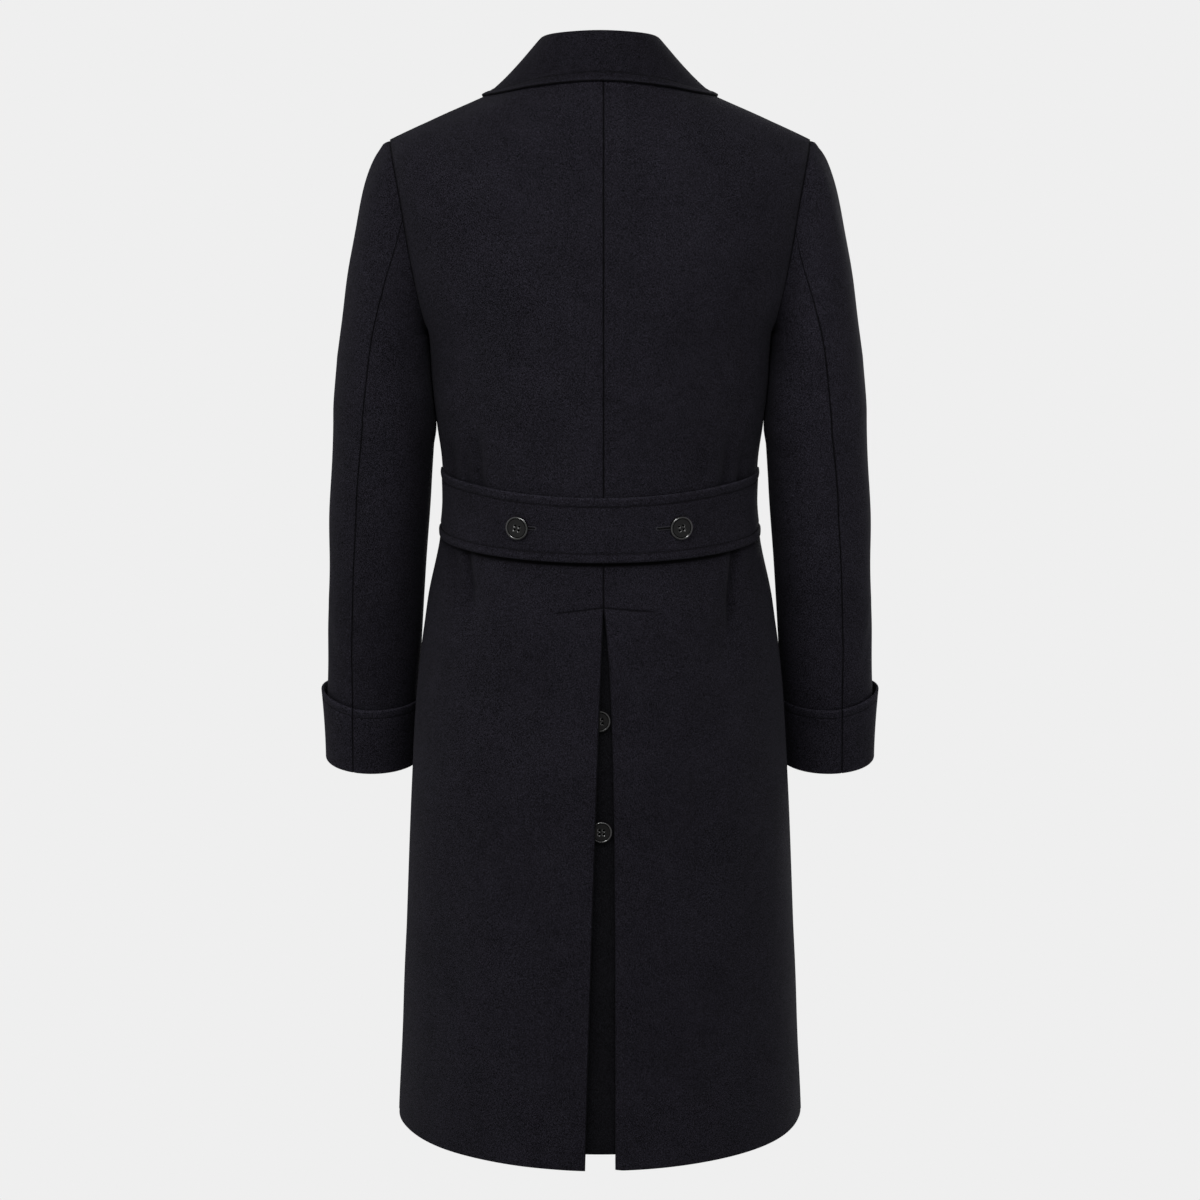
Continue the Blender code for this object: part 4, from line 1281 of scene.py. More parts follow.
@dataclass
class BackPanels(Assembly):
    """The two back panels, sewn together down the centre above the vent."""

    seam_x: float = -0.0038
    vent_top: float = -0.5618
    # How far each edge of the vent has moved aside at the hem, left then right
    openings: Pair = (0.0200, 0.0123)
    # Share of the vent's length over which each edge mostly opens
    reaches: Pair = (2.6, 0.19)
    turning: float = 0.035
    turned_wall: float = 0.0034
    fold_shade: float = 82.0  # Painted shade in a fold, for each metre of its depth
    belt_height: float = -0.478  # Height of the belt's middle, under which the back lies smooth
    belt_bottom: float = -0.5138
    left_lift: float = 0.0018
    right_roll: float = 0.0034
    # Places across and heights of the sewn bar at the top of the vent
    bar: tuple[Pair, ...] = ((-0.0594, -0.5680), (-0.0038, -0.5618), (0.0476, -0.5692))
    bar_depth: float = 0.0016
    bar_width: float = 0.0010
    bar_lip: float = 0.0012  # How far the cloth under the line stands out
    columns: int = 92

    def heights(self) -> Array:
        """Heights of the rows below the armpit.

        Returns:
            The heights, closer together at the vent's bar and under the belt.
        """
        stretches = (
            (HEM + self.turned_wall / 2, -0.5740, 118),
            (-0.5740, -0.5610, 15),
            (-0.5610, -0.5245, 9),
            (-0.5245, self.belt_bottom, 13),
            (self.belt_bottom, ARMPIT, 48),
        )
        parts = [np.linspace(low, high, count)[:-1] for low, high, count in stretches]
        return np.concatenate(parts + [[ARMPIT]])

    def edge_x(self, heights: Array, hand: Hand) -> Array:
        """Where a panel ends at the centre.

        Args:
            heights: Heights of its rows.
            hand: Which panel.

        Returns:
            The X of the seam, and below it of the panel's edge of the vent.
        """
        share = np.clip((self.vent_top - heights) / (self.vent_top - HEM), 0, 1)
        reach = hand.of(self.reaches)
        opened = (1 - np.exp(-share / reach)) / (1 - math.exp(-1 / reach))
        return self.seam_x + hand.value * hand.of(self.openings) * opened

    def bar_heights(self, x: Array) -> Array:
        """Height of the bar's line at places across."""
        across, heights = zip(*self.bar)
        return np.interp(x, across, heights)

    def bar_relief(self, points: Array) -> tuple[Array, Array]:
        """The relief of the bar.

        Args:
            points: Points of a panel.

        Returns:
            How far each moves out, and the painted shade along the bar's line, less painted light on the lip
            under it.
        """
        x, z = points[..., 0], points[..., 2]
        fade = 0.005
        here = ease(self.bar[0][0] - fade, self.bar[0][0] + fade, x)
        here = here * ease(self.bar[-1][0] + fade, self.bar[-1][0] - fade, x)
        above = z - self.bar_heights(x)
        lip = np.where(above < 0, self.bar_lip * np.exp(above / 0.008), 0)
        line = here * bell(above, self.bar_width)
        # The second value is painted shade along the line, less painted light on the lip under it
        return here * lip - self.bar_depth * line, 0.75 * line - 0.12 * here * lip / self.bar_lip

    def shade(self, points: Array, from_side: Array) -> Array:
        """Painted shade: the belt's shadow under its lower edge, and shade along the armhole seam.

        Args:
            points: Points of a panel.
            from_side: Their distances from its outer side.

        Returns:
            A share for each point.
        """
        under = self.belt_bottom - points[..., 2]
        held = ease(0.165, 0.120, np.abs(points[..., 0]))
        belt = bell(under - 0.0014, 0.0030) + 0.22 * np.exp(-np.abs(under) / 0.005)
        belt = np.where(under > -0.0005, belt * (0.45 + 0.55 * held), 0)
        above = ease(ARMPIT - 0.01, ARMPIT + 0.01, points[..., 2])
        seam = 0.75 * bell(from_side, 0.0022) + 0.20 * np.exp(-from_side / 0.006)
        return belt + above * seam

    def sheet(self, hand: Hand) -> Sheet:
        """One panel.

        Args:
            hand: Which panel.

        Returns:
            Its sheet, with rows from hem to neck and columns from the centre to the side.
        """
        rows = self.torso.rows(Face.BACK, self.heights(), ARMHOLE_SHARES, SHOULDER_SHARES)
        heights, lines = rows.centre[:, 2], self.torso.lines(rows)
        lengths = lengths_along(lines)
        opened = ease(self.vent_top + 0.004, self.vent_top - 0.012, heights)
        wall = WALL + (self.turned_wall - WALL) * opened
        edges = self.edge_x(heights, hand)
        start = np.array([np.interp(x, line[:, 0], length) for x, line, length in zip(edges, lines, lengths)])
        start += hand.value * (wall + SEAM_GAP) / 2
        end = lengths[:, -1] - SEAM_INSET if hand is Hand.LEFT else np.full(len(lines), SEAM_INSET)
        points, inward = hung(lines, heights, start, end, self.columns)
        outward = inward[:, -1:] - inward
        x, z = points[..., 0], points[..., 2]
        at_hem = ease(HEM + self.turning, HEM + 0.9 * self.turning, z)
        at_vent = ease(self.turning, 0.9 * self.turning, inward) * opened[:, None]
        thickness = WALL + (self.turned_wall - WALL) * np.maximum(at_hem, at_vent)
        folds = crease_depth(BACK_FOLDS, x, z)
        bar, line = self.bar_relief(points)
        # Painted shade in folds, under the belt, along the armhole and the bar's line, and painted light on
        # the bar's lip
        pressed = self.fold_shade * folds + line + self.shade(points, outward)
        sheet = Sheet(points, np.array([0.0, 1.0, 0.0]), thickness, folds=pressed)
        beyond = np.abs(z - self.belt_height) - 0.04
        free = ease(0, 0.05, beyond) * ease(0, 0.04, outward)
        relief = unevenness(points, 0.0012) * free
        relief -= crease_depth(BACK_CREASES, x, z) + folds
        relief += bar
        down = ease(self.vent_top, self.vent_top - 0.07, heights)[:, None]
        if hand is Hand.LEFT:
            relief += self.left_lift * (1 - ease(0, 0.05, inward)) * down
        else:
            relief -= self.right_roll * np.clip(1 - inward / 0.010, 0, 1) ** 2 * down
        return sheet.pushed(relief)

    def bar_stitches(self, surface: Surface) -> Object:
        """Sews the bar.

        Args:
            surface: The back of the torso.

        Returns:
            Its stitches, sunk in its line.
        """
        x = np.linspace(self.bar[0][0] + 0.002, self.bar[-1][0] - 0.002, 90)
        points, facing = surface.at(x, self.bar_heights(x))
        sewing = Threads(0.00026)
        sewing.run(points - facing * 0.5 * self.bar_depth, facing, pitch=0.0026)
        return sewing.piece("vent_bar_stitching", self.finishes.thread)

    def build(self) -> None:
        """Makes both panels and the bar's stitches."""
        bar = self.bar_stitches(Surface(self.torso, Face.BACK))
        for hand in Hand:
            name = f"back_{hand.word}"
            trim = [bar] if hand is Hand.LEFT else []
            beside = [f"front_{hand.word}"]
            self.sew(self.sheet(hand), name, [name], "hung", beside, trim=trim)


def on_hand(sheet: Sheet, hand: Hand) -> Sheet:
    """A sheet made for the left, on either side of the wearer."""
    turned = replace(sheet, points=mirrored(sheet.points), outward=mirrored(sheet.outward))
    return sheet if hand is Hand.LEFT else turned


@dataclass
class Fronts(Assembly):
    """The two fronts, the left lapping over the right, with the lapels that they turn into."""

    overlap: float = 0.090
    break_height: float = -0.335  # Where the lapels start to roll open
    roll_top: Pair = (0.0665, -0.022)  # Place across and height of the top of the roll line
    lift: float = 0.0038  # How far the left front lies over the right one
    lapel_lift: float = 0.0042  # How much further it lies out over the right lapel
    lapel_wall: float = 0.0026
    lapel_gap: float = 0.0020
    lapel_start: float = 0.04  # Share of the lapel's length at which it starts
    gorge_share: float = 0.895  # Share of the roll line at which the lapel ends
    lapel_tip: Pair = (0.137, -0.118)
    lapel_belly: float = 0.010
    stitch_inset: float = 0.0107
    edge_wall: float = 0.0030
    turning: Pair = (0.035, 0.032)  # Widths between which the turned hem and front edge thicken
    columns: int = 92

    def roll_x(self, height: Array) -> Array:
        """The left front's edge: upright below the break, then the roll line up to the neck."""
        share = np.maximum((height - self.break_height) / (self.roll_top[1] - self.break_height), 0)
        return -self.overlap + share * (self.roll_top[0] + self.overlap)

    def lifted(self, x: Array, height: Array) -> Array:
        """How far the left front lies out over the right front and its lapel."""
        over = self.lift + self.lapel_lift * ease(-0.372, self.break_height, height)
        return over * (1 - ease(-0.140, -0.080, height)) * (1 - ease(0.098, 0.140, x))

    def roll_radius(self) -> float:
        """Radius of the roll from a front's inside to its lapel's outside."""
        return (self.lapel_gap + self.lapel_wall + WALL) / 2

    def sheet(self, hand: Hand) -> Sheet:
        """One front.

        Args:
            hand: Which front.

        Returns:
            Its sheet, with rows from hem to neck and columns from the front edge to the side.
        """
        below = np.linspace(HEM + self.edge_wall / 2, ARMPIT, 176)
        rows = self.torso.rows(Face.FRONT, below, ARMHOLE_SHARES, SHOULDER_SHARES)
        heights, lines = rows.centre[:, 2], self.torso.lines(rows)
        lengths = lengths_along(lines)
        past = lines[..., 0] - self.roll_x(lines[..., 2])
        start = np.array([np.interp(0, *pair) for pair in zip(past, lengths)])
        low = spread(lines, start, start, np.zeros(1))[:, 0, 2]
        rolled = ease(self.break_height - 0.015, self.break_height + 0.03, low)
        start += self.edge_wall / 2 + (self.roll_radius() - self.edge_wall / 2) * rolled
        points, inward = hung(lines, heights, start, lengths[:, -1] - SEAM_INSET, self.columns)
        x, z = points[..., 0], points[..., 2]
        wide, narrow = self.turning
        turned = ease(wide, narrow, inward) * (1 - rolled)[:, None]
        turned = np.maximum(turned, ease(HEM + wide, HEM + narrow, z))
        thickness = WALL + (self.edge_wall - WALL) * turned
        sheet = Sheet(points, np.array([0.0, -1.0, 0.0]), thickness, {Side.LAST_ROW: 0.6})
        relief = unevenness(points, 0.0010)
        relief -= crease_depth(FRONT_CREASES, x * hand.value, z) * ease(0.02, 0.06, inward)
        if hand is Hand.LEFT:
            relief += self.lifted(x, z)
            welt = bell(inward - self.stitch_inset, GROOVE) * (1 - rolled)[:, None]
            relief -= 0.0005 * welt
        return on_hand(sheet.pushed(relief), hand)

    def lapel(self, hand: Hand, surface: Surface) -> Sheet:
        """One lapel.

        Args:
            hand: Which lapel.
            surface: The front of the torso.

        Returns:
            Its sheet, with rows from the break to the gorge and columns from the roll to the edge.
        """
        start = np.array([-self.overlap, self.break_height])
        top = np.array(self.roll_top)
        tip = np.array(self.lapel_tip)
        roll = unit(top - start)
        outward = np.array([roll[1], -roll[0]])
        share = np.linspace(self.lapel_start, 1, 84)[:, None]
        inner = start + share * self.gorge_share * (top - start)
        outer = start + share * (tip - start) + self.lapel_belly * np.sin(math.pi * share) * outward
        width = np.linalg.norm(outer - inner, axis=1, keepdims=True)
        radius = self.roll_radius()
        inner = inner + (outer - inner) * np.minimum(radius / width, 0.6)
        outer = outer - (outer - inner) * np.minimum(self.lapel_wall / 2 / width, 0.3)
        parts = end_heavy(46, 0.6).reshape(1, -1, 1)
        spots = inner[:, None] + parts * (outer - inner)[:, None]
        points, facing = surface.at(spots[..., 0], spots[..., 1])
        stand = np.full(spots.shape[:2], self.lapel_gap + self.lapel_wall)
        if hand is Hand.LEFT:
            stand = stand + self.lifted(spots[..., 0], spots[..., 1])
        from_edge = (1 - parts[..., 0]) * width
        stand = stand - 0.0005 * bell(from_edge - self.stitch_inset, GROOVE)
        stand = stand + 0.0012 * np.sin(math.pi * parts[..., 0]) * np.minimum(width / 0.06, 1)
        points = points + facing * stand[..., None]
        bulge = unit(points[:, 0] - points[:, 2])
        bulge = unit(bulge - facing[:, 0] * np.sum(bulge * facing[:, 0], axis=-1, keepdims=True))
        roll = rolled(points[:, 0], facing[:, 0], bulge, radius).transpose(1, 0, 2)
        points = np.concatenate([roll, points], axis=1)
        way = np.zeros(points.shape)
        way[:, -40:, 1] = -1
        rows = ((Side.LAST_COLUMN, self.stitch_inset),)
        sheet = Sheet(points, way, self.lapel_wall, {Side.FIRST_COLUMN: 0.15}, rows, (12, -8))
        return on_hand(sheet, hand)

    def build(self) -> None:
        """Makes both fronts and both lapels."""
        surface = Surface(self.torso, Face.FRONT)
        for hand in Hand:
            name = f"front_{hand.word}"
            sheet = self.sheet(hand)
            trim = []
            if hand is Hand.LEFT:
                sewing = Threads(STITCH)
                sewing.run(*(part[4:165] for part in sheet.line(Side.FIRST_COLUMN, self.stitch_inset)))
                trim = [sewing.piece("front_stitching", self.finishes.thread)]
            self.sew(sheet, name, [name], "hung", [f"back_{hand.word}"], trim=trim)
            lapel = f"lapel_{hand.word}"
            self.sew(self.lapel(hand, surface), lapel, [lapel], "folded", [name])


@dataclass
class Sleeves(Assembly):
    """The two-piece sleeves and their turned-back cuffs."""

    front_seam: float = 234.0  # Angle of the seam at the front of the arm, from its outside, in degrees
    lead_top: float = 0.030  # How far the cap leaves the armhole sideways at its top
    lead_under: float = 0.0015  # How far it does at the underarm
    lead_power: float = 1.6
    cap_lift: float = 0.45  # How far up the cap a column's lower handle lies
    cap_slope: float = 0.14  # How far that handle leans inward
    slant: float = -0.2  # How much the cap leaves downward
    cuff_height: float = 0.0785
    cuff_rise: float = 0.0085  # How much taller it is on the outer side of the arm
    cuff_flare: float = 0.0038  # How far it stands off there
    flare_power: float = 1.5  # How narrow that stretch is
    cuff_drop: float = 0.0010
    cuff_wall: float = 0.0028
    stitch_inset: float = 0.0097
    # Painted shade on the inner side of the left and right arm, where it lies against the torso
    inner_shades: Pair = (0.66, 0.34)
    hug_gap: float = 0.0001
    arm_radius: float = 0.058  # Mean radius, which makes angles round the arm places across its creases
    wrist_mean: float = 0.056
    cap_rows: int = 42
    tube_rows: int = 98
    rings: Spline = Spline(SLEEVE)

    def tube(self, heights: Array, angles: Array) -> Array:
        """Points of the left sleeve below its cap.

        Args:
            heights: Heights, which broadcast with the angles.
            angles: Angles from the outside of the arm towards its back, in radians.

        Returns:
            Points, with a last axis of 3.
        """
        heights, angles = np.broadcast_arrays(heights, angles)
        ring = SleeveRing(*np.moveaxis(self.rings(heights), -1, 0))
        turned = angles - np.radians(ring.twist) * np.sin(angles)
        back = ring.half_depth * np.sin(turned)
        lean = np.radians(ring.pitch)
        x = ring.x + ring.half_width * np.cos(turned)
        return np.stack([x, ring.y + back * np.cos(lean), heights - back * np.sin(lean)], axis=-1)

    def loop(self, angles: Array) -> Array:
        """The left armhole's edge.

        Args:
            angles: Angles from the shoulder point, down the back and up the front.

        Returns:
            A point for each angle.
        """
        turn = np.mod(angles.ravel(), 2 * math.pi) / math.pi
        back = self.torso.armhole(Face.BACK, np.clip(1 - turn, 0, 1)).edge
        front = self.torso.armhole(Face.FRONT, np.clip(turn - 1, 0, 1)).edge
        return np.where((turn <= 1)[:, None], back, front).reshape(angles.shape + (3,))

    def cap(self, shares: Array, angles: Array) -> Array:
        """Points of the left sleeve's cap.

        Args:
            shares: Places from the armhole to the first ring, one for each row.
            angles: Angles round the arm, rows by columns.

        Returns:
            Rows by columns by 3.
        """
        loop = self.loop(angles)
        top = self.tube(SLEEVE[0].height, angles)
        outside = (1 + np.cos(angles)[..., None]) / 2
        lead = self.lead_under + (self.lead_top - self.lead_under) * outside**self.lead_power
        leave = loop + lead * unit(np.array([1.0, 0.0, self.slant]))
        lift = self.cap_lift * (loop[..., 2:] - top[..., 2:])
        arrive = top + np.concatenate([-self.cap_slope * outside * lift, 0 * lift, lift], axis=-1)
        first = SEAM_INSET / np.linalg.norm(loop - top, axis=-1)
        places = first + shares[:, None] * (1 - first)
        return bezier(loop, leave, arrive, top, places[..., None])

    def cap_shares(self) -> Array:
        """Places of the cap's rows from the armhole to the first ring, closer together at the armhole."""
        close = np.array([0.0, 0.003, 0.008, 0.016])
        return np.concatenate([close, np.linspace(0.03, 1, self.cap_rows - len(close) + 1)[:-1]])

    def grid(self, angles: Array) -> Array:
        """Points of the left sleeve from the armhole to the wrist.

        Args:
            angles: Angles round the arm, rows by columns.

        Returns:
            Rows by columns by 3.
        """
        low = WRIST - 2 * self.cuff_drop + self.wrist_radius() + SEAM_GAP
        heights = np.linspace(SLEEVE[0].height, low, len(angles) - self.cap_rows)
        cap = self.cap(self.cap_shares(), angles[: self.cap_rows])
        return np.concatenate([cap, self.tube(heights[:, None], angles[self.cap_rows :])])

    def back_seam(self, hand: Hand) -> Array:
        """The seam at the back of the arm.

        Args:
            hand: Which sleeve.

        Returns:
            Its angle at each row, in degrees.
        """
        share = self.cap_rows / (self.cap_rows + self.tube_rows)
        places = np.concatenate([share * self.cap_shares(), np.linspace(share, 1, self.tube_rows)])
        return hand.of(Spline(BACK_SEAMS)(places).T[1:])

    def beside(self, seam: Array, side: int) -> Array:
        """Angle at which a sleeve piece ends, beside one of its seams.

        Args:
            seam: The seam's angle at each row, in degrees.
            side: 1 if the piece lies after the seam, -1 if before it.

        Returns:
            An angle in radians for each row.
        """
        middle = np.radians(seam)[:, None]
        step = 0.01
        points = self.grid(np.hstack([middle, middle + step]))
        radius = np.linalg.norm(points[:, 1] - points[:, 0], axis=-1)[:, None] / step
        return middle + side * SEAM_INSET / radius

    def sheet(self, start: Array, end: Array, columns: int, painted_inner_shade: float) -> Sheet:
        """One piece of a sleeve, as on the left.

        Args:
            start: Angles of its first seam, in degrees.
            end: Angles of its last seam.
            columns: Columns of points.
            painted_inner_shade: How much painted shade darkens the inner arm against the torso.

        Returns:
            Its sheet, with rows from the armhole to the wrist.
        """
        first, last = self.beside(start, 1), self.beside(end, -1)
        angles = first + (last - first) * end_heavy(columns)
        points = self.grid(angles)
        outward = (points - np.array([0.245, -0.02, 0.0])) * np.array([1.0, 1.0, 0.0])
        sheet = Sheet(points, outward, WALL, {Side.LAST_ROW: 0.15})
        from_armhole = sheet.distance(Side.FIRST_ROW)
        across = np.mod(angles + math.pi, 2 * math.pi) - math.pi
        heights = points[..., 2]
        relief = -crease_depth(SLEEVE_CREASES, self.arm_radius * across, heights)
        outer = ease(-0.4, 0.4, np.cos(across))
        relief += unevenness(points * 1.6, 0.0010) * outer
        fade = ease(WRIST, WRIST + 0.09, heights) * ease(0, 0.03, from_armhole)
        inner = ease(1.85, 3.0, math.pi - np.abs(np.mod(angles, 2 * math.pi) - math.pi))
        inner = inner * ease(-0.330, -0.375, heights) * ease(-0.66, -0.56, heights)
        # Painted shade along the armhole seam, and on the inner arm where it lies against the torso
        folds = 0.75 * bell(from_armhole, 0.0020) + painted_inner_shade * inner
        sheet = replace(sheet, folds=folds)
        return sheet.pushed(relief * fade + self.hug(points, angles))

    def hug(self, points: Array, angles: Array) -> Array:
        """Lays the inner side of the arm against the torso below the armpit.

        Args:
            points: Points of the sleeve.
            angles: Their angles round the arm.

        Returns:
            How far each point moves in.
        """
        height = points[..., 2]
        torso = self.torso.sections(height)[..., 1]
        beside = np.maximum(-np.cos(angles), 0) ** 6
        here = ease(-0.415, -0.382, height) * ease(ARMPIT + 0.005, ARMPIT - 0.003, height)
        return here * beside * np.maximum(points[..., 0] - torso - self.hug_gap, 0)

    def wrist_radius(self) -> float:
        """Radius of the roll from the sleeve's inside to the cuff's outside."""
        return (LAY_GAP + self.cuff_wall + WALL) / 2

    def cuff(self, seam: float) -> Sheet:
        """A cuff, as on the left.

        Args:
            seam: Angle of its seam, in degrees.

        Returns:
            Its sheet, with rows from the inside of the wrist over its roll to the standing edge.
        """
        inset = math.degrees((self.cuff_wall + SEAM_GAP) / 2 / self.wrist_mean)
        angles = np.radians(seam + inset + (360 - 2 * inset) * end_heavy(150, 0.5))
        outside = np.maximum(np.cos(angles), 0) ** self.flare_power
        tall = self.cuff_height + self.cuff_rise * outside
        radius = self.wrist_radius()
        first = radius / tall
        last = 1 - self.cuff_wall / 2 / tall
        places = np.concatenate([np.linspace(0, 0.72, 20)[:-1], np.linspace(0.72, 1, 22)])
        share = first + places[:, None] * (last - first)
        heights = WRIST - self.cuff_drop + share * tall
        base = self.tube(heights, angles)
        base[..., 2] += np.minimum(heights - WRIST, 0)
        centre = base.mean(axis=1, keepdims=True)
        away = unit((base - centre) * np.array([1.0, 1.0, 0.0]))
        stand = LAY_GAP * (0.3 + 0.7 * share) + self.cuff_wall + self.cuff_flare * share**2 * outside
        from_edge = (1 - share) * tall
        stand = stand - 0.0006 * bell(from_edge - self.stitch_inset, 0.0011)
        points = base + away * stand[..., None]
        roll = rolled(points[0], away[0], np.array([0.0, 0.0, -1.0]), radius)
        points = np.concatenate([roll, points])
        outward = np.concatenate([0 * roll, away])
        rows = ((Side.LAST_ROW, self.stitch_inset),)
        light = {Side.LAST_ROW: (0.55, 0.0012)}
        return Sheet(points, outward, self.cuff_wall, {Side.FIRST_ROW: 0.15}, rows, lit=light)

    def build(self) -> None:
        """Makes both sleeves and both cuffs."""
        for hand in Hand:
            back = self.back_seam(hand)
            front = np.full(len(back), self.front_seam)
            painted_inner_shade = hand.of(self.inner_shades)
            wool = hand.of((self.finishes.wool, self.finishes.right_sleeve))
            spans = (("top", front, back + 360, 70), ("under", back, front, 58))
            for piece, start, end, columns in spans:
                name = f"sleeve_{piece}_{hand.word}"
                nodes = [f"{name}_upper", f"{name}_lower"]
                sheet = on_hand(self.sheet(start, end, columns, painted_inner_shade), hand)
                body = [f"back_{hand.word}", f"front_{hand.word}"]
                self.sew(sheet, name, nodes, "hung", body, wool)
            name = f"cuff_{hand.word}"
            sheet = on_hand(self.cuff(back[-1]), hand)
            under = [f"sleeve_{half}_{hand.word}_lower" for half in ("top", "under")]
            self.sew(sheet, name, [name], "folded", under, self.finishes.cuff)


@dataclass
class Collar(Assembly):
    """The collar: its stand rises from the neck seam and rolls over into the fall."""

    fronts: Fronts
    shoulder_along: float = 0.55
    stand_end: float = 0.846
    # Least distances of the fall's outside from the torso, at the back and the shoulders
    clearances: Pair = (0.0044, 0.0028)
    rest: float = 0.46  # How far from its edge the fall lies along the shoulder
    front_start: float = 0.70  # Place along the collar at which the fall starts to lie along the roll line
    stand_raise: float = 0.0006
    stand_tuck: float = 0.0090  # How far under the fold it starts to roll over
    wall: float = 0.0026
    stitch_inset: float = 0.0107
    columns: int = 84
    stations: Spline = Spline(COLLAR)

    def neck(self, along: Array) -> Array:
        """The neck seam of the left side.

        Args:
            along: Places along the collar.

        Returns:
            Points, with a last axis of 3.
        """
        one = np.ones(1)
        middle = self.torso.samples - 1
        back = self.torso.lines(self.torso.shoulder(Face.BACK, one))[0, middle:]
        front = self.torso.lines(self.torso.shoulder(Face.FRONT, one))[0]
        lengths = lengths_along(front)
        end = np.interp(0, front[:, 0] - self.fronts.roll_x(front[:, 2]), lengths)
        behind = at_lengths(back, lengths_along(back)[-1] * along / self.shoulder_along)
        share = np.clip((along - self.shoulder_along) / (self.stand_end - self.shoulder_along), 0, 1)
        ahead = at_lengths(front, lengths[-1] + share * (end - lengths[-1]))
        return np.where((along <= self.shoulder_along)[:, None], behind, ahead)

    def edges(self, station: CollarStation) -> Array:
        """Where the fall's edge rests on the torso.

        Args:
            station: The stations, with a column for each field.

        Returns:
            A point for each station.
        """
        middle = self.torso.samples - 1
        back = self.torso.lines(self.torso.shoulder(Face.BACK, station.share))[:, middle:]
        front = self.torso.lines(self.torso.shoulder(Face.FRONT, station.share))[:, : middle - 1 : -1]
        found = []
        for number, around in enumerate(station.around):
            line = back[number] if around <= 1 else front[number]
            found.append(at_lengths(line, lengths_along(line)[-1] * (around if around <= 1 else around - 1)))
        return np.array(found)

    def sections(self) -> tuple[Array, Array]:
        """The left half of the collar.

        Returns:
            Points of the stand and its roll, and points of the fall: places along by points by 3.
        """
        along = np.linspace(0, 1, self.columns)
        station = CollarStation(*np.moveaxis(self.stations(along), -1, 0))
        fold = np.stack([station.fold_x, station.fold_y, station.fold_z], axis=1)
        edge = self.edges(station)
        neck = self.neck(along)
        outward = unit((edge - fold) * np.array([1.0, 1.0, 0.0]))
        up = np.array([0.0, 0.0, 1.0])
        leave = fold + station.spread[:, None] * outward - station.drop[:, None] * up
        ahead = ease(self.front_start, 1.0, along)[:, None]
        inside = neck + ahead * (fold - neck)
        arrive = edge + self.rest * (inside - edge) - station.notch[:, None] * up
        fall = curves(120, fold, leave, arrive, edge)
        tuck = fold - self.stand_tuck * up
        closing = ease(self.stand_end - 0.06, 1.0, along)[:, None]
        seam = neck + self.stand_raise * up
        seam = seam + closing * (tuck - 0.004 * up - seam)
        rising = unit(tuck - seam)
        turn = 0.55 * self.stand_tuck
        roll = curves(30, tuck, tuck + turn * rising, fold - turn * unit(leave - fold), fold)
        stand = seam[:, None] + np.linspace(0, 1, 30).reshape(1, -1, 1) * (tuck - seam)[:, None]
        return np.concatenate([stand[:, :-1], roll], axis=1), fall

    def cleared(self, points: Array) -> Array:
        """Points, with any that come nearer to the torso than they may moved out from it.

        Args:
            points: The points.

        Returns:
            The moved points.
        """
        cloud, normals = [], []
        for face in Face:
            lines = Surface(self.torso, face).lines[110:, ::4]
            facing = unit(np.cross(np.gradient(lines, axis=1), np.gradient(lines, axis=0)))
            facing = facing if np.sum(facing[..., 1]) * face.value > 0 else -facing
            cloud.append(lines.reshape(-1, 3))
            normals.append(facing.reshape(-1, 3))
        spots, facing = np.concatenate(cloud), np.concatenate(normals)
        tree = KDTree(len(spots))
        for number, spot in enumerate(spots):
            tree.insert(spot, number)
        tree.balance()
        flat = points.reshape(-1, 3)
        nearest = np.array([tree.find(point)[1] for point in flat])
        height = np.sum((flat - spots[nearest]) * facing[nearest], axis=1)
        behind, beside = self.clearances
        clear = behind + (beside - behind) * ease(0.05, 0.11, np.abs(flat[:, 0]))
        lift = np.maximum(clear - height, 0)[:, None]
        return (flat + facing[nearest] * lift).reshape(points.shape)

    def sheet(self) -> Sheet:
        """The whole collar.

        Returns:
            Its sheet, with rows from the neck seam over the fold to the fall's edge.
        """
        inner, fall = self.sections()
        fall = self.cleared(fall)
        close = np.arange(0.0, 0.0165, 0.0011)
        lines = []
        for stand, down in zip(inner, fall):
            lengths = lengths_along(down)
            last = lengths[-1] - self.wall / 2
            wanted = np.concatenate([np.linspace(0, last - close[-1], 30)[1:-1], (last - close)[::-1]])
            first = lengths_along(stand)
            risen = np.linspace(self.wall / 2, first[-1], 30)
            lines.append(np.concatenate([at_lengths(stand, risen), at_lengths(down, wanted)]))
        left = np.array(lines)
        whole = np.swapaxes(np.concatenate([mirrored(left[:0:-1]), left]), 0, 1)
        outward = np.zeros(whole.shape)
        outward[-30:, :, 2] = 1.0
        rows = ((Side.LAST_ROW, self.stitch_inset),)
        sheet = Sheet(whole, outward, self.wall, rows=rows, lit={Side.LAST_ROW: (0.42, 0.0030)})
        from_edge = sheet.distance(Side.LAST_ROW)
        groove = 0.0006 * bell(from_edge - self.stitch_inset, GROOVE)
        puff = 0.0004 * np.sin(math.pi * np.clip(from_edge / self.stitch_inset, 0, 1))
        return sheet.pushed(puff - groove)

    def build(self) -> None:
        """Makes the collar and its stitching."""
        nodes = ["collar_fall", "collar_stand"]
        backs = ["back_left", "back_right"]
        self.sew(self.sheet(), "collar", nodes, "folded", backs, self.finishes.collar)


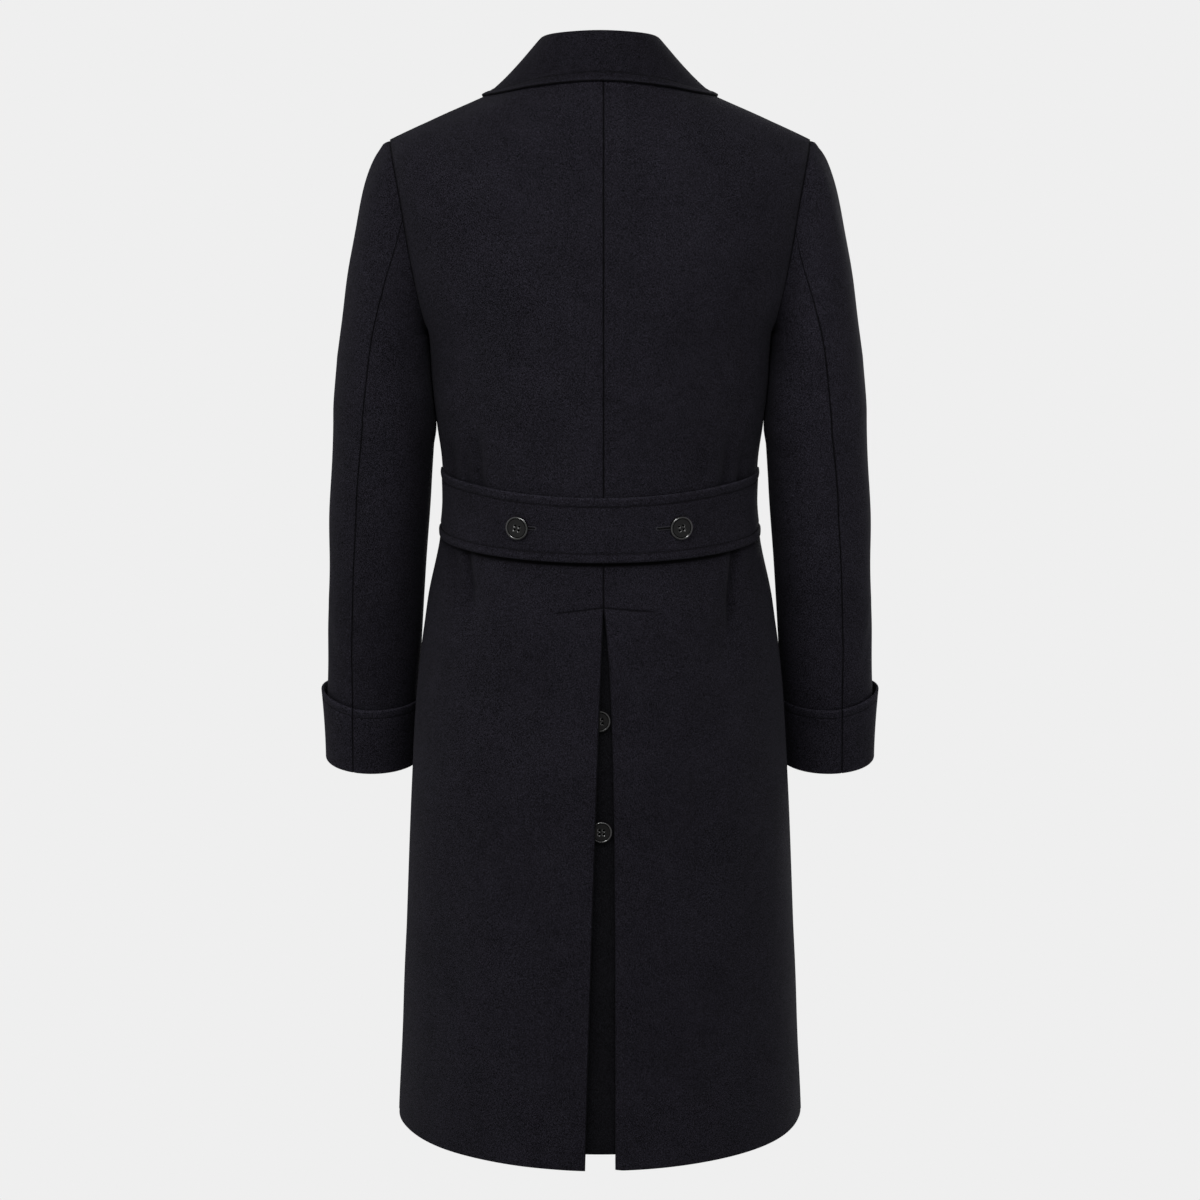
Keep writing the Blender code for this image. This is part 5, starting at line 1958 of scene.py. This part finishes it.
@dataclass
class BackTrim(Assembly):
    """The half belt across the waist and the strip behind the vent."""

    belt_top: float = -0.4420
    belt_bottom: float = -0.5138
    belt_rise: float = 0.0036
    rise_reach: float = 0.13  # How far aside it is highest
    belt_wall: float = 0.0034
    belt_flare: float = 0.0012
    end_inset: float = 0.003
    sewn_length: float = 0.070
    sewn_drop: float = 0.0026  # How much nearer to the back the ends lie
    stitch_inset: float = 0.0107
    strip_half_width: float = 0.055
    strip_top: float = -0.570
    strip_hem: float = -1.165
    strip_depth: float = 0.0086

    def belt(self) -> Sheet:
        """The half belt.

        Returns:
            Its sheet, with rows from its lower to its upper edge.
        """
        half = self.belt_wall / 2
        low, high = self.belt_bottom + half, self.belt_top - half
        heights = low + (high - low) * end_heavy(58, 0.55)
        lines = self.torso.lines(self.torso.skirt(Face.BACK, heights))
        lengths = lengths_along(lines)
        start = np.full(len(lines), self.end_inset + half)
        points = spread(lines, start, lengths[:, -1] - self.end_inset - half, end_heavy(190, 0.4))
        aside = np.minimum(np.abs(points[..., 0]) / self.rise_reach, 1)
        points[..., 2] += self.belt_rise * aside**2 * (points[..., 2] - low) / (high - low)
        rows = tuple((side, self.stitch_inset) for side in (Side.FIRST_ROW, Side.LAST_ROW))
        light = {Side.LAST_ROW: (0.50, 0.0010), Side.FIRST_ROW: (0.15, 0.0060)}
        sheet = Sheet(points, np.array([0.0, 1.0, 0.0]), self.belt_wall, rows=rows, lit=light)
        ends = np.minimum(sheet.distance(Side.FIRST_COLUMN), sheet.distance(Side.LAST_COLUMN))
        sewn = 1 - ease(0, self.sewn_length, ends)
        flare = self.belt_flare * ease(0, 1, (high - points[..., 2]) / (high - low))
        stand = LAY_GAP + self.belt_wall + flare - sewn * (flare + self.sewn_drop)
        sheet = replace(sheet, thickness=self.belt_wall - sewn * self.sewn_drop / 2).pushed(stand)
        near = np.minimum(sheet.distance(Side.FIRST_ROW), sheet.distance(Side.LAST_ROW))
        groove = 0.0009 * bell(near - self.stitch_inset, GROOVE)
        puff = 0.0009 * np.sin(math.pi * np.clip(near / self.stitch_inset, 0, 1))
        return sheet.pushed(puff - groove + unevenness(points * 1.5, 0.0004))

    def strip(self) -> Sheet:
        """The strip behind the vent.

        Returns:
            Its sheet, with rows from its hem up.
        """
        heights = np.linspace(self.strip_hem + WALL / 2, self.strip_top, 120)
        lines = self.torso.lines(self.torso.skirt(Face.BACK, heights))
        lengths = lengths_along(lines)
        sides = (-self.strip_half_width, self.strip_half_width)
        ends = [np.interp(sides, line[:, 0], length) for line, length in zip(lines, lengths)]
        points = spread(lines, *np.array(ends).T, np.linspace(0, 1, 34))
        sheet = Sheet(points, np.array([0.0, 1.0, 0.0]), WALL)
        return sheet.pushed(unevenness(points * 1.3, 0.0006) - self.strip_depth)

    def build(self) -> None:
        """Makes the belt, its stitching and the strip."""
        backs = ["back_left", "back_right"]
        self.sew(self.belt(), "half_belt", ["half_belt"], "laid", backs)
        self.sew(self.strip(), "vent_underlap", ["vent_underlap"], "hung", backs, self.finishes.strip)


class ButtonPlace(NamedTuple):
    """A button: its node, face and radius, how far it sits aside of its node and under it, and its turn.

    The turn is in degrees. The hole is the reach of the buttonhole along X, or 0 for none.
    """

    node: str
    face: Face
    radius: float
    aside: float
    under: float
    turn: float
    hole: float


@dataclass
class Buttons(Assembly):
    """Four-hole horn buttons, sewn on with thread, and the buttonholes that they pass through."""

    height: float = 0.0042
    sides: int = 56
    hole_radius: float = 0.00125
    # Half the distances between two holes, across and up
    hole_spacing: Pair = (0.0024, 0.0022)
    mouth: Pair = (0.0007, 0.0005)  # How much wider a hole's mouth is, and how deep
    # Insets of its face from the rim inward, as shares of the radius, with rises in metres
    steps: tuple[Pair, ...] = (
        (0.030, 0.00030), (0.035, 0.00024), (0.025, 0.00000), (0.045, -0.00036), (0.012, -0.00040),
        (0.045, 0.00000), (0.012, 0.00035), (0.030, 0.00010), (0.330, -0.00025), (0.240, -0.00010),
    )
    # Where the groove inside the rim starts and ends, as shares of the radius, and its top
    groove: Triple = (0.79, 0.868, 0.0037)
    rim_drop: float = 0.00054
    dish_drop: float = 0.00066
    face_dull: float = 0.83  # How much less the face mirrors than the rim
    shank: float = 0.0022
    # How much a button turns from the cloth's direction towards straight back or ahead
    face_pull: float = 0.45
    raised: float = 0.0010
    hole_slant: float = 0.95  # How much shorter it looks from straight behind or ahead
    hole_above: float = 0.0008
    hole_rise: float = 0.0003
    whip_pitch: float = 0.00052
    whip: Pair = (0.0009, 0.0011)  # How far aside of the slit the whipping starts, and its length
    eye: Pair = (0.0008, 0.0019)  # Inner and outer radius of the round end's whipping
    thread_radius: float = 0.00034
    # Radius of the dark thread laid along a buttonhole's slit as its painted shadow
    slit_radius: float = 0.00095
    places: tuple[ButtonPlace, ...] = table(ButtonPlace, (
        ("belt_button_left", Face.BACK, 0.0125, -0.0002, 0.0009, -10, -0.0215),
        ("belt_button_right", Face.BACK, 0.0125, 0.0020, 0.0008, 12, 0.0285),
        ("vent_button_1", Face.BACK, 0.0114, 0.0034, -0.0008, 3, 0),
        ("vent_button_2", Face.BACK, 0.0115, 0.0017, -0.0003, -1, 0),
        ("front_button_left_1", Face.FRONT, 0.0140, 0, 0, 6, 0),
        ("front_button_left_2", Face.FRONT, 0.0140, 0, 0, -9, 0),
        ("front_button_left_3", Face.FRONT, 0.0140, 0, 0, 14, 0),
        ("front_button_right_1", Face.FRONT, 0.0140, 0, 0, -4, -0.024),
        ("front_button_right_2", Face.FRONT, 0.0140, 0, 0, 11, -0.024),
        ("front_button_right_3", Face.FRONT, 0.0140, 0, 0, -7, -0.024),
    ))

    def model(self, radius: float) -> Object:
        """Models one button at the origin, its back on the floor.

        Args:
            radius: The button's radius.

        Returns:
            The button.
        """
        pick()
        depth = self.height - self.rim_drop
        bpy.ops.mesh.primitive_cylinder_add(
            vertices=self.sides, radius=radius, depth=depth, location=(0, 0, depth / 2)
        )
        button = bpy.context.object
        bpy.ops.object.transform_apply(location=True)
        bpy.ops.object.mode_set(mode="EDIT")
        bpy.ops.mesh.select_mode(type="FACE")
        bpy.ops.mesh.select_all(action="DESELECT")
        shape = bmesh.from_edit_mesh(button.data)
        for face in shape.faces:
            face.select_set(face.normal.z > 0.9)
        bmesh.update_edit_mesh(button.data)
        for inset, rise in self.steps:
            bpy.ops.mesh.inset(thickness=inset * radius, depth=rise)
        bpy.ops.object.mode_set(mode="OBJECT")
        self.drill(button)
        round_off = button.modifiers.new("round_off", "BEVEL")
        round_off.width = 0.00008
        round_off.segments = 2
        round_off.angle_limit = math.radians(60)
        bpy.ops.object.modifier_apply(modifier=round_off.name)
        bpy.ops.object.shade_smooth_by_angle(angle=math.radians(18))
        self.mark_dull(button, radius)
        return button

    def mark_dull(self, button: Object, radius: float) -> None:
        """Marks each of a button's faces with its dullness: most in its groove and holes, not on its rim; the
        groove and hole walls are also painted near black as shade.

        Args:
            button: The button.
            radius: Its radius.
        """
        middles = np.array([face.center for face in button.data.polygons])
        upward = np.array([face.normal.z for face in button.data.polygons])
        from_centre = np.hypot(middles[:, 0], middles[:, 1]) / radius
        first, last, top = self.groove
        dull = np.where((from_centre < first) & (upward > 0.92), self.face_dull, 0.2)
        dull[(from_centre > last) & ((upward > 0.95) | (upward < 0.5))] = self.face_dull
        # Groove and hole walls: fully matt, and painted near black as shade by the horn's material
        dull[(from_centre > first) & (from_centre < last) & (middles[:, 2] < top)] = 1.0
        dull[(from_centre < 0.5) & (np.abs(upward) < 0.3)] = 1.0
        layer = button.data.attributes.new("dull", "FLOAT", "FACE")
        layer.data.foreach_set("value", dull.astype(np.float32))

    def spots(self) -> list[Pair]:
        """Places of the four holes."""
        across, up = self.hole_spacing
        return [(x * across, y * up) for x in (-1, 1) for y in (-1, 1)]

    def drill(self, button: Object) -> None:
        """Cuts the four holes of a button, then their wider mouths.

        Args:
            button: The button.
        """
        face = self.height - self.dish_drop
        radius = self.hole_radius
        wider, deep = self.mouth
        self.cut_away(button, radius, radius, -self.height, 2 * self.height)
        self.cut_away(button, radius - wider, radius + 2 * wider, face - 2 * deep, face + deep)

    def cut_away(self, button: Object, narrow: float, wide: float, low: float, high: float) -> None:
        """Cuts a round hollow out of a button at each of its holes.

        Args:
            button: The button.
            narrow: Radius of the hollow's lower end.
            wide: Radius of its upper end.
            low: Height of its lower end.
            high: Height of its upper end.
        """
        bits = []
        for x, y in self.spots():
            pick()
            bpy.ops.mesh.primitive_cone_add(
                vertices=20, radius1=narrow, radius2=wide, depth=high - low, location=(x, y, (low + high) / 2)
            )
            bits.append(bpy.context.object)
        pick(*bits[::-1])
        bpy.ops.object.join()
        drill = bpy.context.object
        pick(button)
        cut = button.modifiers.new("holes", "BOOLEAN")
        cut.object = drill
        cut.operation = "DIFFERENCE"
        bpy.ops.object.modifier_apply(modifier=cut.name)
        bpy.data.objects.remove(drill, do_unlink=True)

    def placement(self, place: ButtonPlace, surfaces: dict[Face, Surface]) -> Matrix:
        """Where a button lies, with its Z out from the cloth and its X level.

        Args:
            place: The button.
            surfaces: The torso's faces.

        Returns:
            The button's matrix, with its back at the origin.
        """
        low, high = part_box(place.node)
        middle = (low + high) / 2 + Vector((place.aside, 0, -place.under))
        _, facing = surfaces[place.face].at(np.array([middle.x]), np.array([middle.z]))
        out = (Vector(facing[0]) + Vector((0, self.face_pull * place.face.value, 0))).normalized()
        middle = middle + out * self.raised
        level = Vector((0, 0, 1)).cross(out).normalized()
        upward = out.cross(level)
        axes = Matrix((level, upward, out)).transposed().to_4x4()
        turn = Matrix.Rotation(math.radians(place.turn), 4, "Z")
        return Matrix.Translation(middle - out * self.height / 2) @ axes @ turn

    def sew_on(self, threads: Threads, matrix: Matrix) -> None:
        """Sews a button on, from inside its holes down to the cloth.

        Args:
            threads: Takes the thread.
            matrix: The button's place.
        """
        turned = np.array(matrix.to_3x3())
        origin = np.array(matrix.translation)
        aside = turned @ np.array([1.0, 0.0, 0.0])
        for x, y in self.spots():
            top = origin + turned @ np.array([x, y, 0.3 * self.height])
            base = origin + turned @ np.array([0.5 * x, 0.5 * y, -self.shank])
            threads.add(base, top, aside)

    def buttonhole(self, threads: Threads, slits: Threads, place: ButtonPlace) -> None:
        """Adds a buttonhole on the cloth: a dark thread along its slit as the slit's painted shadow, two
        whipped edges of short threads and a round end.

        Args:
            threads: Takes the whipping.
            slits: Takes the dark thread that stands for the slit's shadow.
            place: The button.
        """
        cloth = bpy.data.objects["half_belt_cloth" if place.face is Face.BACK else "front_left_cloth"].data
        faces = [face.vertices for face in cloth.polygons]
        tree = BVHTree.FromPolygons([vertex.co for vertex in cloth.vertices], faces)
        low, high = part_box(place.node)
        middle = (low + high) / 2
        ahead = Vector((0.0, float(place.face.value), 0.0))
        spots = np.arange(-0.002, abs(place.hole) - 0.0012, self.whip_pitch)
        found = []
        for spot in spots:
            x = middle.x + place.aside + np.sign(place.hole) * spot * self.hole_slant
            height = middle.z - place.under + self.hole_above
            found.append(tree.ray_cast(Vector((x, 0, height)) + ahead, -ahead)[:2])
        line, facing = (np.array(part) for part in zip(*found))
        line = line + self.hole_rise * facing
        along = unit(np.gradient(line, axis=0))
        across = np.cross(facing, along)
        start, length = self.whip
        for side in (-1, 1):
            near = line + side * start * across
            threads.add(near, near + side * length * across, facing)
        # A dark thread along the slit stands for its painted shadow
        slits.add(line[:-6:6], line[6::6], facing[:-6:6])
        turns = np.radians(np.linspace(-80, 80, 9))[:, None]
        spokes = np.cos(turns) * along[-1] + np.sin(turns) * across[-1]
        inner, outer = self.eye
        threads.add(line[-1] + inner * spokes, line[-1] + outer * spokes, facing[-1] + 0 * spokes)

    def build(self) -> None:
        """Makes every button, its thread and its buttonhole."""
        surfaces = {face: Surface(self.torso, face) for face in Face}
        threads, whipping = Threads(self.thread_radius), Threads(self.thread_radius)
        slits = Threads(self.slit_radius)
        patterns: dict[float, Object] = {}
        for place in self.places:
            matrix = self.placement(place, surfaces)
            if place.radius not in patterns:
                patterns[place.radius] = self.model(place.radius)
            button = patterns[place.radius].copy()
            button.data = patterns[place.radius].data.copy()
            button.name = f"{place.node}_horn"
            bpy.context.scene.collection.objects.link(button)
            pick(button)
            button.matrix_world = matrix
            bpy.ops.object.transform_apply(location=True, rotation=True, scale=True)
            button.data.materials.append(self.finishes.horn)
            carry(button, Slot.HORN, place.node)
            self.sew_on(threads, matrix)
            if place.hole:
                self.buttonhole(whipping, slits, place)
        for pattern in patterns.values():
            bpy.data.objects.remove(pattern, do_unlink=True)
        threads.piece("button_threads", self.finishes.thread)
        whipping.piece("buttonhole_threads", self.finishes.cord)
        # The slits' painted shadow: a dark thread along each slit
        slits.piece("buttonhole_slits", self.finishes.thread)


class Lamp(NamedTuple):
    """A lamp: its name, place, width and height in metres, and power in watts."""

    name: str
    place: Triple
    width: float
    height: float
    power: float


@dataclass(frozen=True)
class Studio:
    """A plain pale floor and backdrop, soft light that is stronger from both sides, lamps and the camera."""

    pale: float = 0.863
    floor_height: float = -1.30
    reach: float = 60.0
    ambient: float = 0.09
    screen: float = 0.24  # How much brighter it is straight behind the coat, where the camera stands
    sides: float = 0.63
    lean: float = 0.07  # How much brighter it is on the left than in the middle
    # A wide lamp over the camera, which draws the folds and edges, and one for the coat's front
    lamps: tuple[Lamp, ...] = (
        Lamp("high_lamp", (0.28, 1.70, 1.08), 2.7, 0.11, 32.5),
        Lamp("front_lamp", (-0.90, -2.50, -0.40), 1.6, 1.2, 30.0),
    )
    lamp_aim: Triple = (0.0, 0.0, -0.45)
    camera_place: Triple = (0.0, 5.5, 0.626)
    camera_aim: Triple = (0.0, 0.0, -0.589)
    lens: float = 152.25

    def backdrop(self) -> None:
        """Lays the floor and the backdrop, which only the camera sees."""
        graph = Graph(bpy.data.materials.new("pale_backdrop"))
        glow = (self.pale, self.pale, self.pale, 1.0)
        dark = {"Base_Color": (0, 0, 0, 1), "Specular_IOR_Level": 0.0}
        finish = graph.surface(**dark, Emission_Color=glow, Emission_Strength=1.0)
        finish.cycles.emission_sampling = "NONE"
        pick()
        bpy.ops.mesh.primitive_plane_add(size=2 * self.reach, location=(0, 0, self.floor_height))
        floor = bpy.context.object
        floor.name = "floor"
        bpy.ops.mesh.primitive_uv_sphere_add(segments=32, ring_count=16, radius=0.95 * self.reach)
        backdrop = bpy.context.object
        backdrop.name = "backdrop"
        for stage in (floor, backdrop):
            stage.data.materials.append(finish)
            stage.visible_glossy = False
            stage.visible_diffuse = False
            stage.visible_shadow = False

    def light(self) -> None:
        """Lights the coat softly from all round, more from both sides, and hangs the lamps."""
        scene = bpy.context.scene
        scene.world = bpy.data.worlds.new("studio")
        graph = Graph(scene.world)
        way = graph.node("ShaderNodeTexCoord", "Generated", {})
        aside = graph.node("ShaderNodeSeparateXYZ", "X", {}, Vector=way)
        behind = graph.node("ShaderNodeSeparateXYZ", "Y", {}, Vector=way)
        brightness = self.ambient + self.screen * graph.maths("MAXIMUM", behind, 0.0)
        brightness = brightness + self.sides * graph.maths("ABSOLUTE", aside, 0.0) + self.lean * aside
        graph.feed(graph.tree.nodes["Background"], "Color", (1.0, 1.0, 1.0, 1.0))
        graph.feed(graph.tree.nodes["Background"], "Strength", brightness)
        for lamp in self.lamps:
            light = bpy.data.lights.new(lamp.name, "AREA")
            light.shape = "RECTANGLE"
            light.size = lamp.width
            light.size_y = lamp.height
            light.energy = lamp.power
            hung = bpy.data.objects.new(lamp.name, light)
            scene.collection.objects.link(hung)
            self.point(hung, lamp.place, self.lamp_aim)

    @staticmethod
    def point(thing: Object, place: Sequence[float], aim: Sequence[float]) -> None:
        """Puts a lamp or camera in its place, looking at its aim."""
        thing.location = place
        thing.rotation_euler = (Vector(aim) - Vector(place)).to_track_quat("-Z", "Y").to_euler()

    def camera(self) -> None:
        """Sets up the camera, and plain colours for the picture."""
        scene = bpy.context.scene
        lens = bpy.data.cameras.new("camera")
        lens.lens = self.lens
        lens.sensor_width = 36.0
        lens.clip_end = 4 * self.reach
        camera = bpy.data.objects.new("camera", lens)
        scene.collection.objects.link(camera)
        self.point(camera, self.camera_place, self.camera_aim)
        scene.camera = camera
        scene.view_settings.view_transform = "Standard"

    def build(self) -> None:
        """Makes the whole studio."""
        self.backdrop()
        self.light()
        self.camera()


def main() -> None:
    """Builds the studio and the coat, piece by piece."""
    logging.basicConfig(level=logging.INFO, format="%(message)s")
    Studio().build()
    torso = Torso()
    finishes = Finishes(
        wool=WoolFinish().material(),
        # Copies of the cloth painted as light and shade: the collar darker, the cuffs and right sleeve
        # lighter, the strip inside the vent darker
        collar=WoolFinish("navy_melton_collar", tone=0.72).material(),
        cuff=WoolFinish("navy_melton_cuff", tone=1.20).material(),
        right_sleeve=WoolFinish("navy_melton_right_sleeve", tone=1.20).material(),
        strip=WoolFinish("navy_melton_strip", 0.47, (0.0094, 0.0099, 0.0113, 1.0)).material(),
        thread=ThreadFinish().material(),
        cord=ThreadFinish("navy_cord", (0.0310, 0.0300, 0.0360, 1.0)).material(),
        horn=HornFinish().material(),
    )
    fronts = Fronts(torso, finishes)
    assemblies = (
        BackPanels(torso, finishes),
        fronts,
        Sleeves(torso, finishes),
        Collar(torso, finishes, fronts),
        BackTrim(torso, finishes),
        Buttons(torso, finishes),
    )
    for assembly in assemblies:
        LOG.info("building %s", type(assembly).__name__)
        assembly.build()


if __name__ == "__main__":
    main()
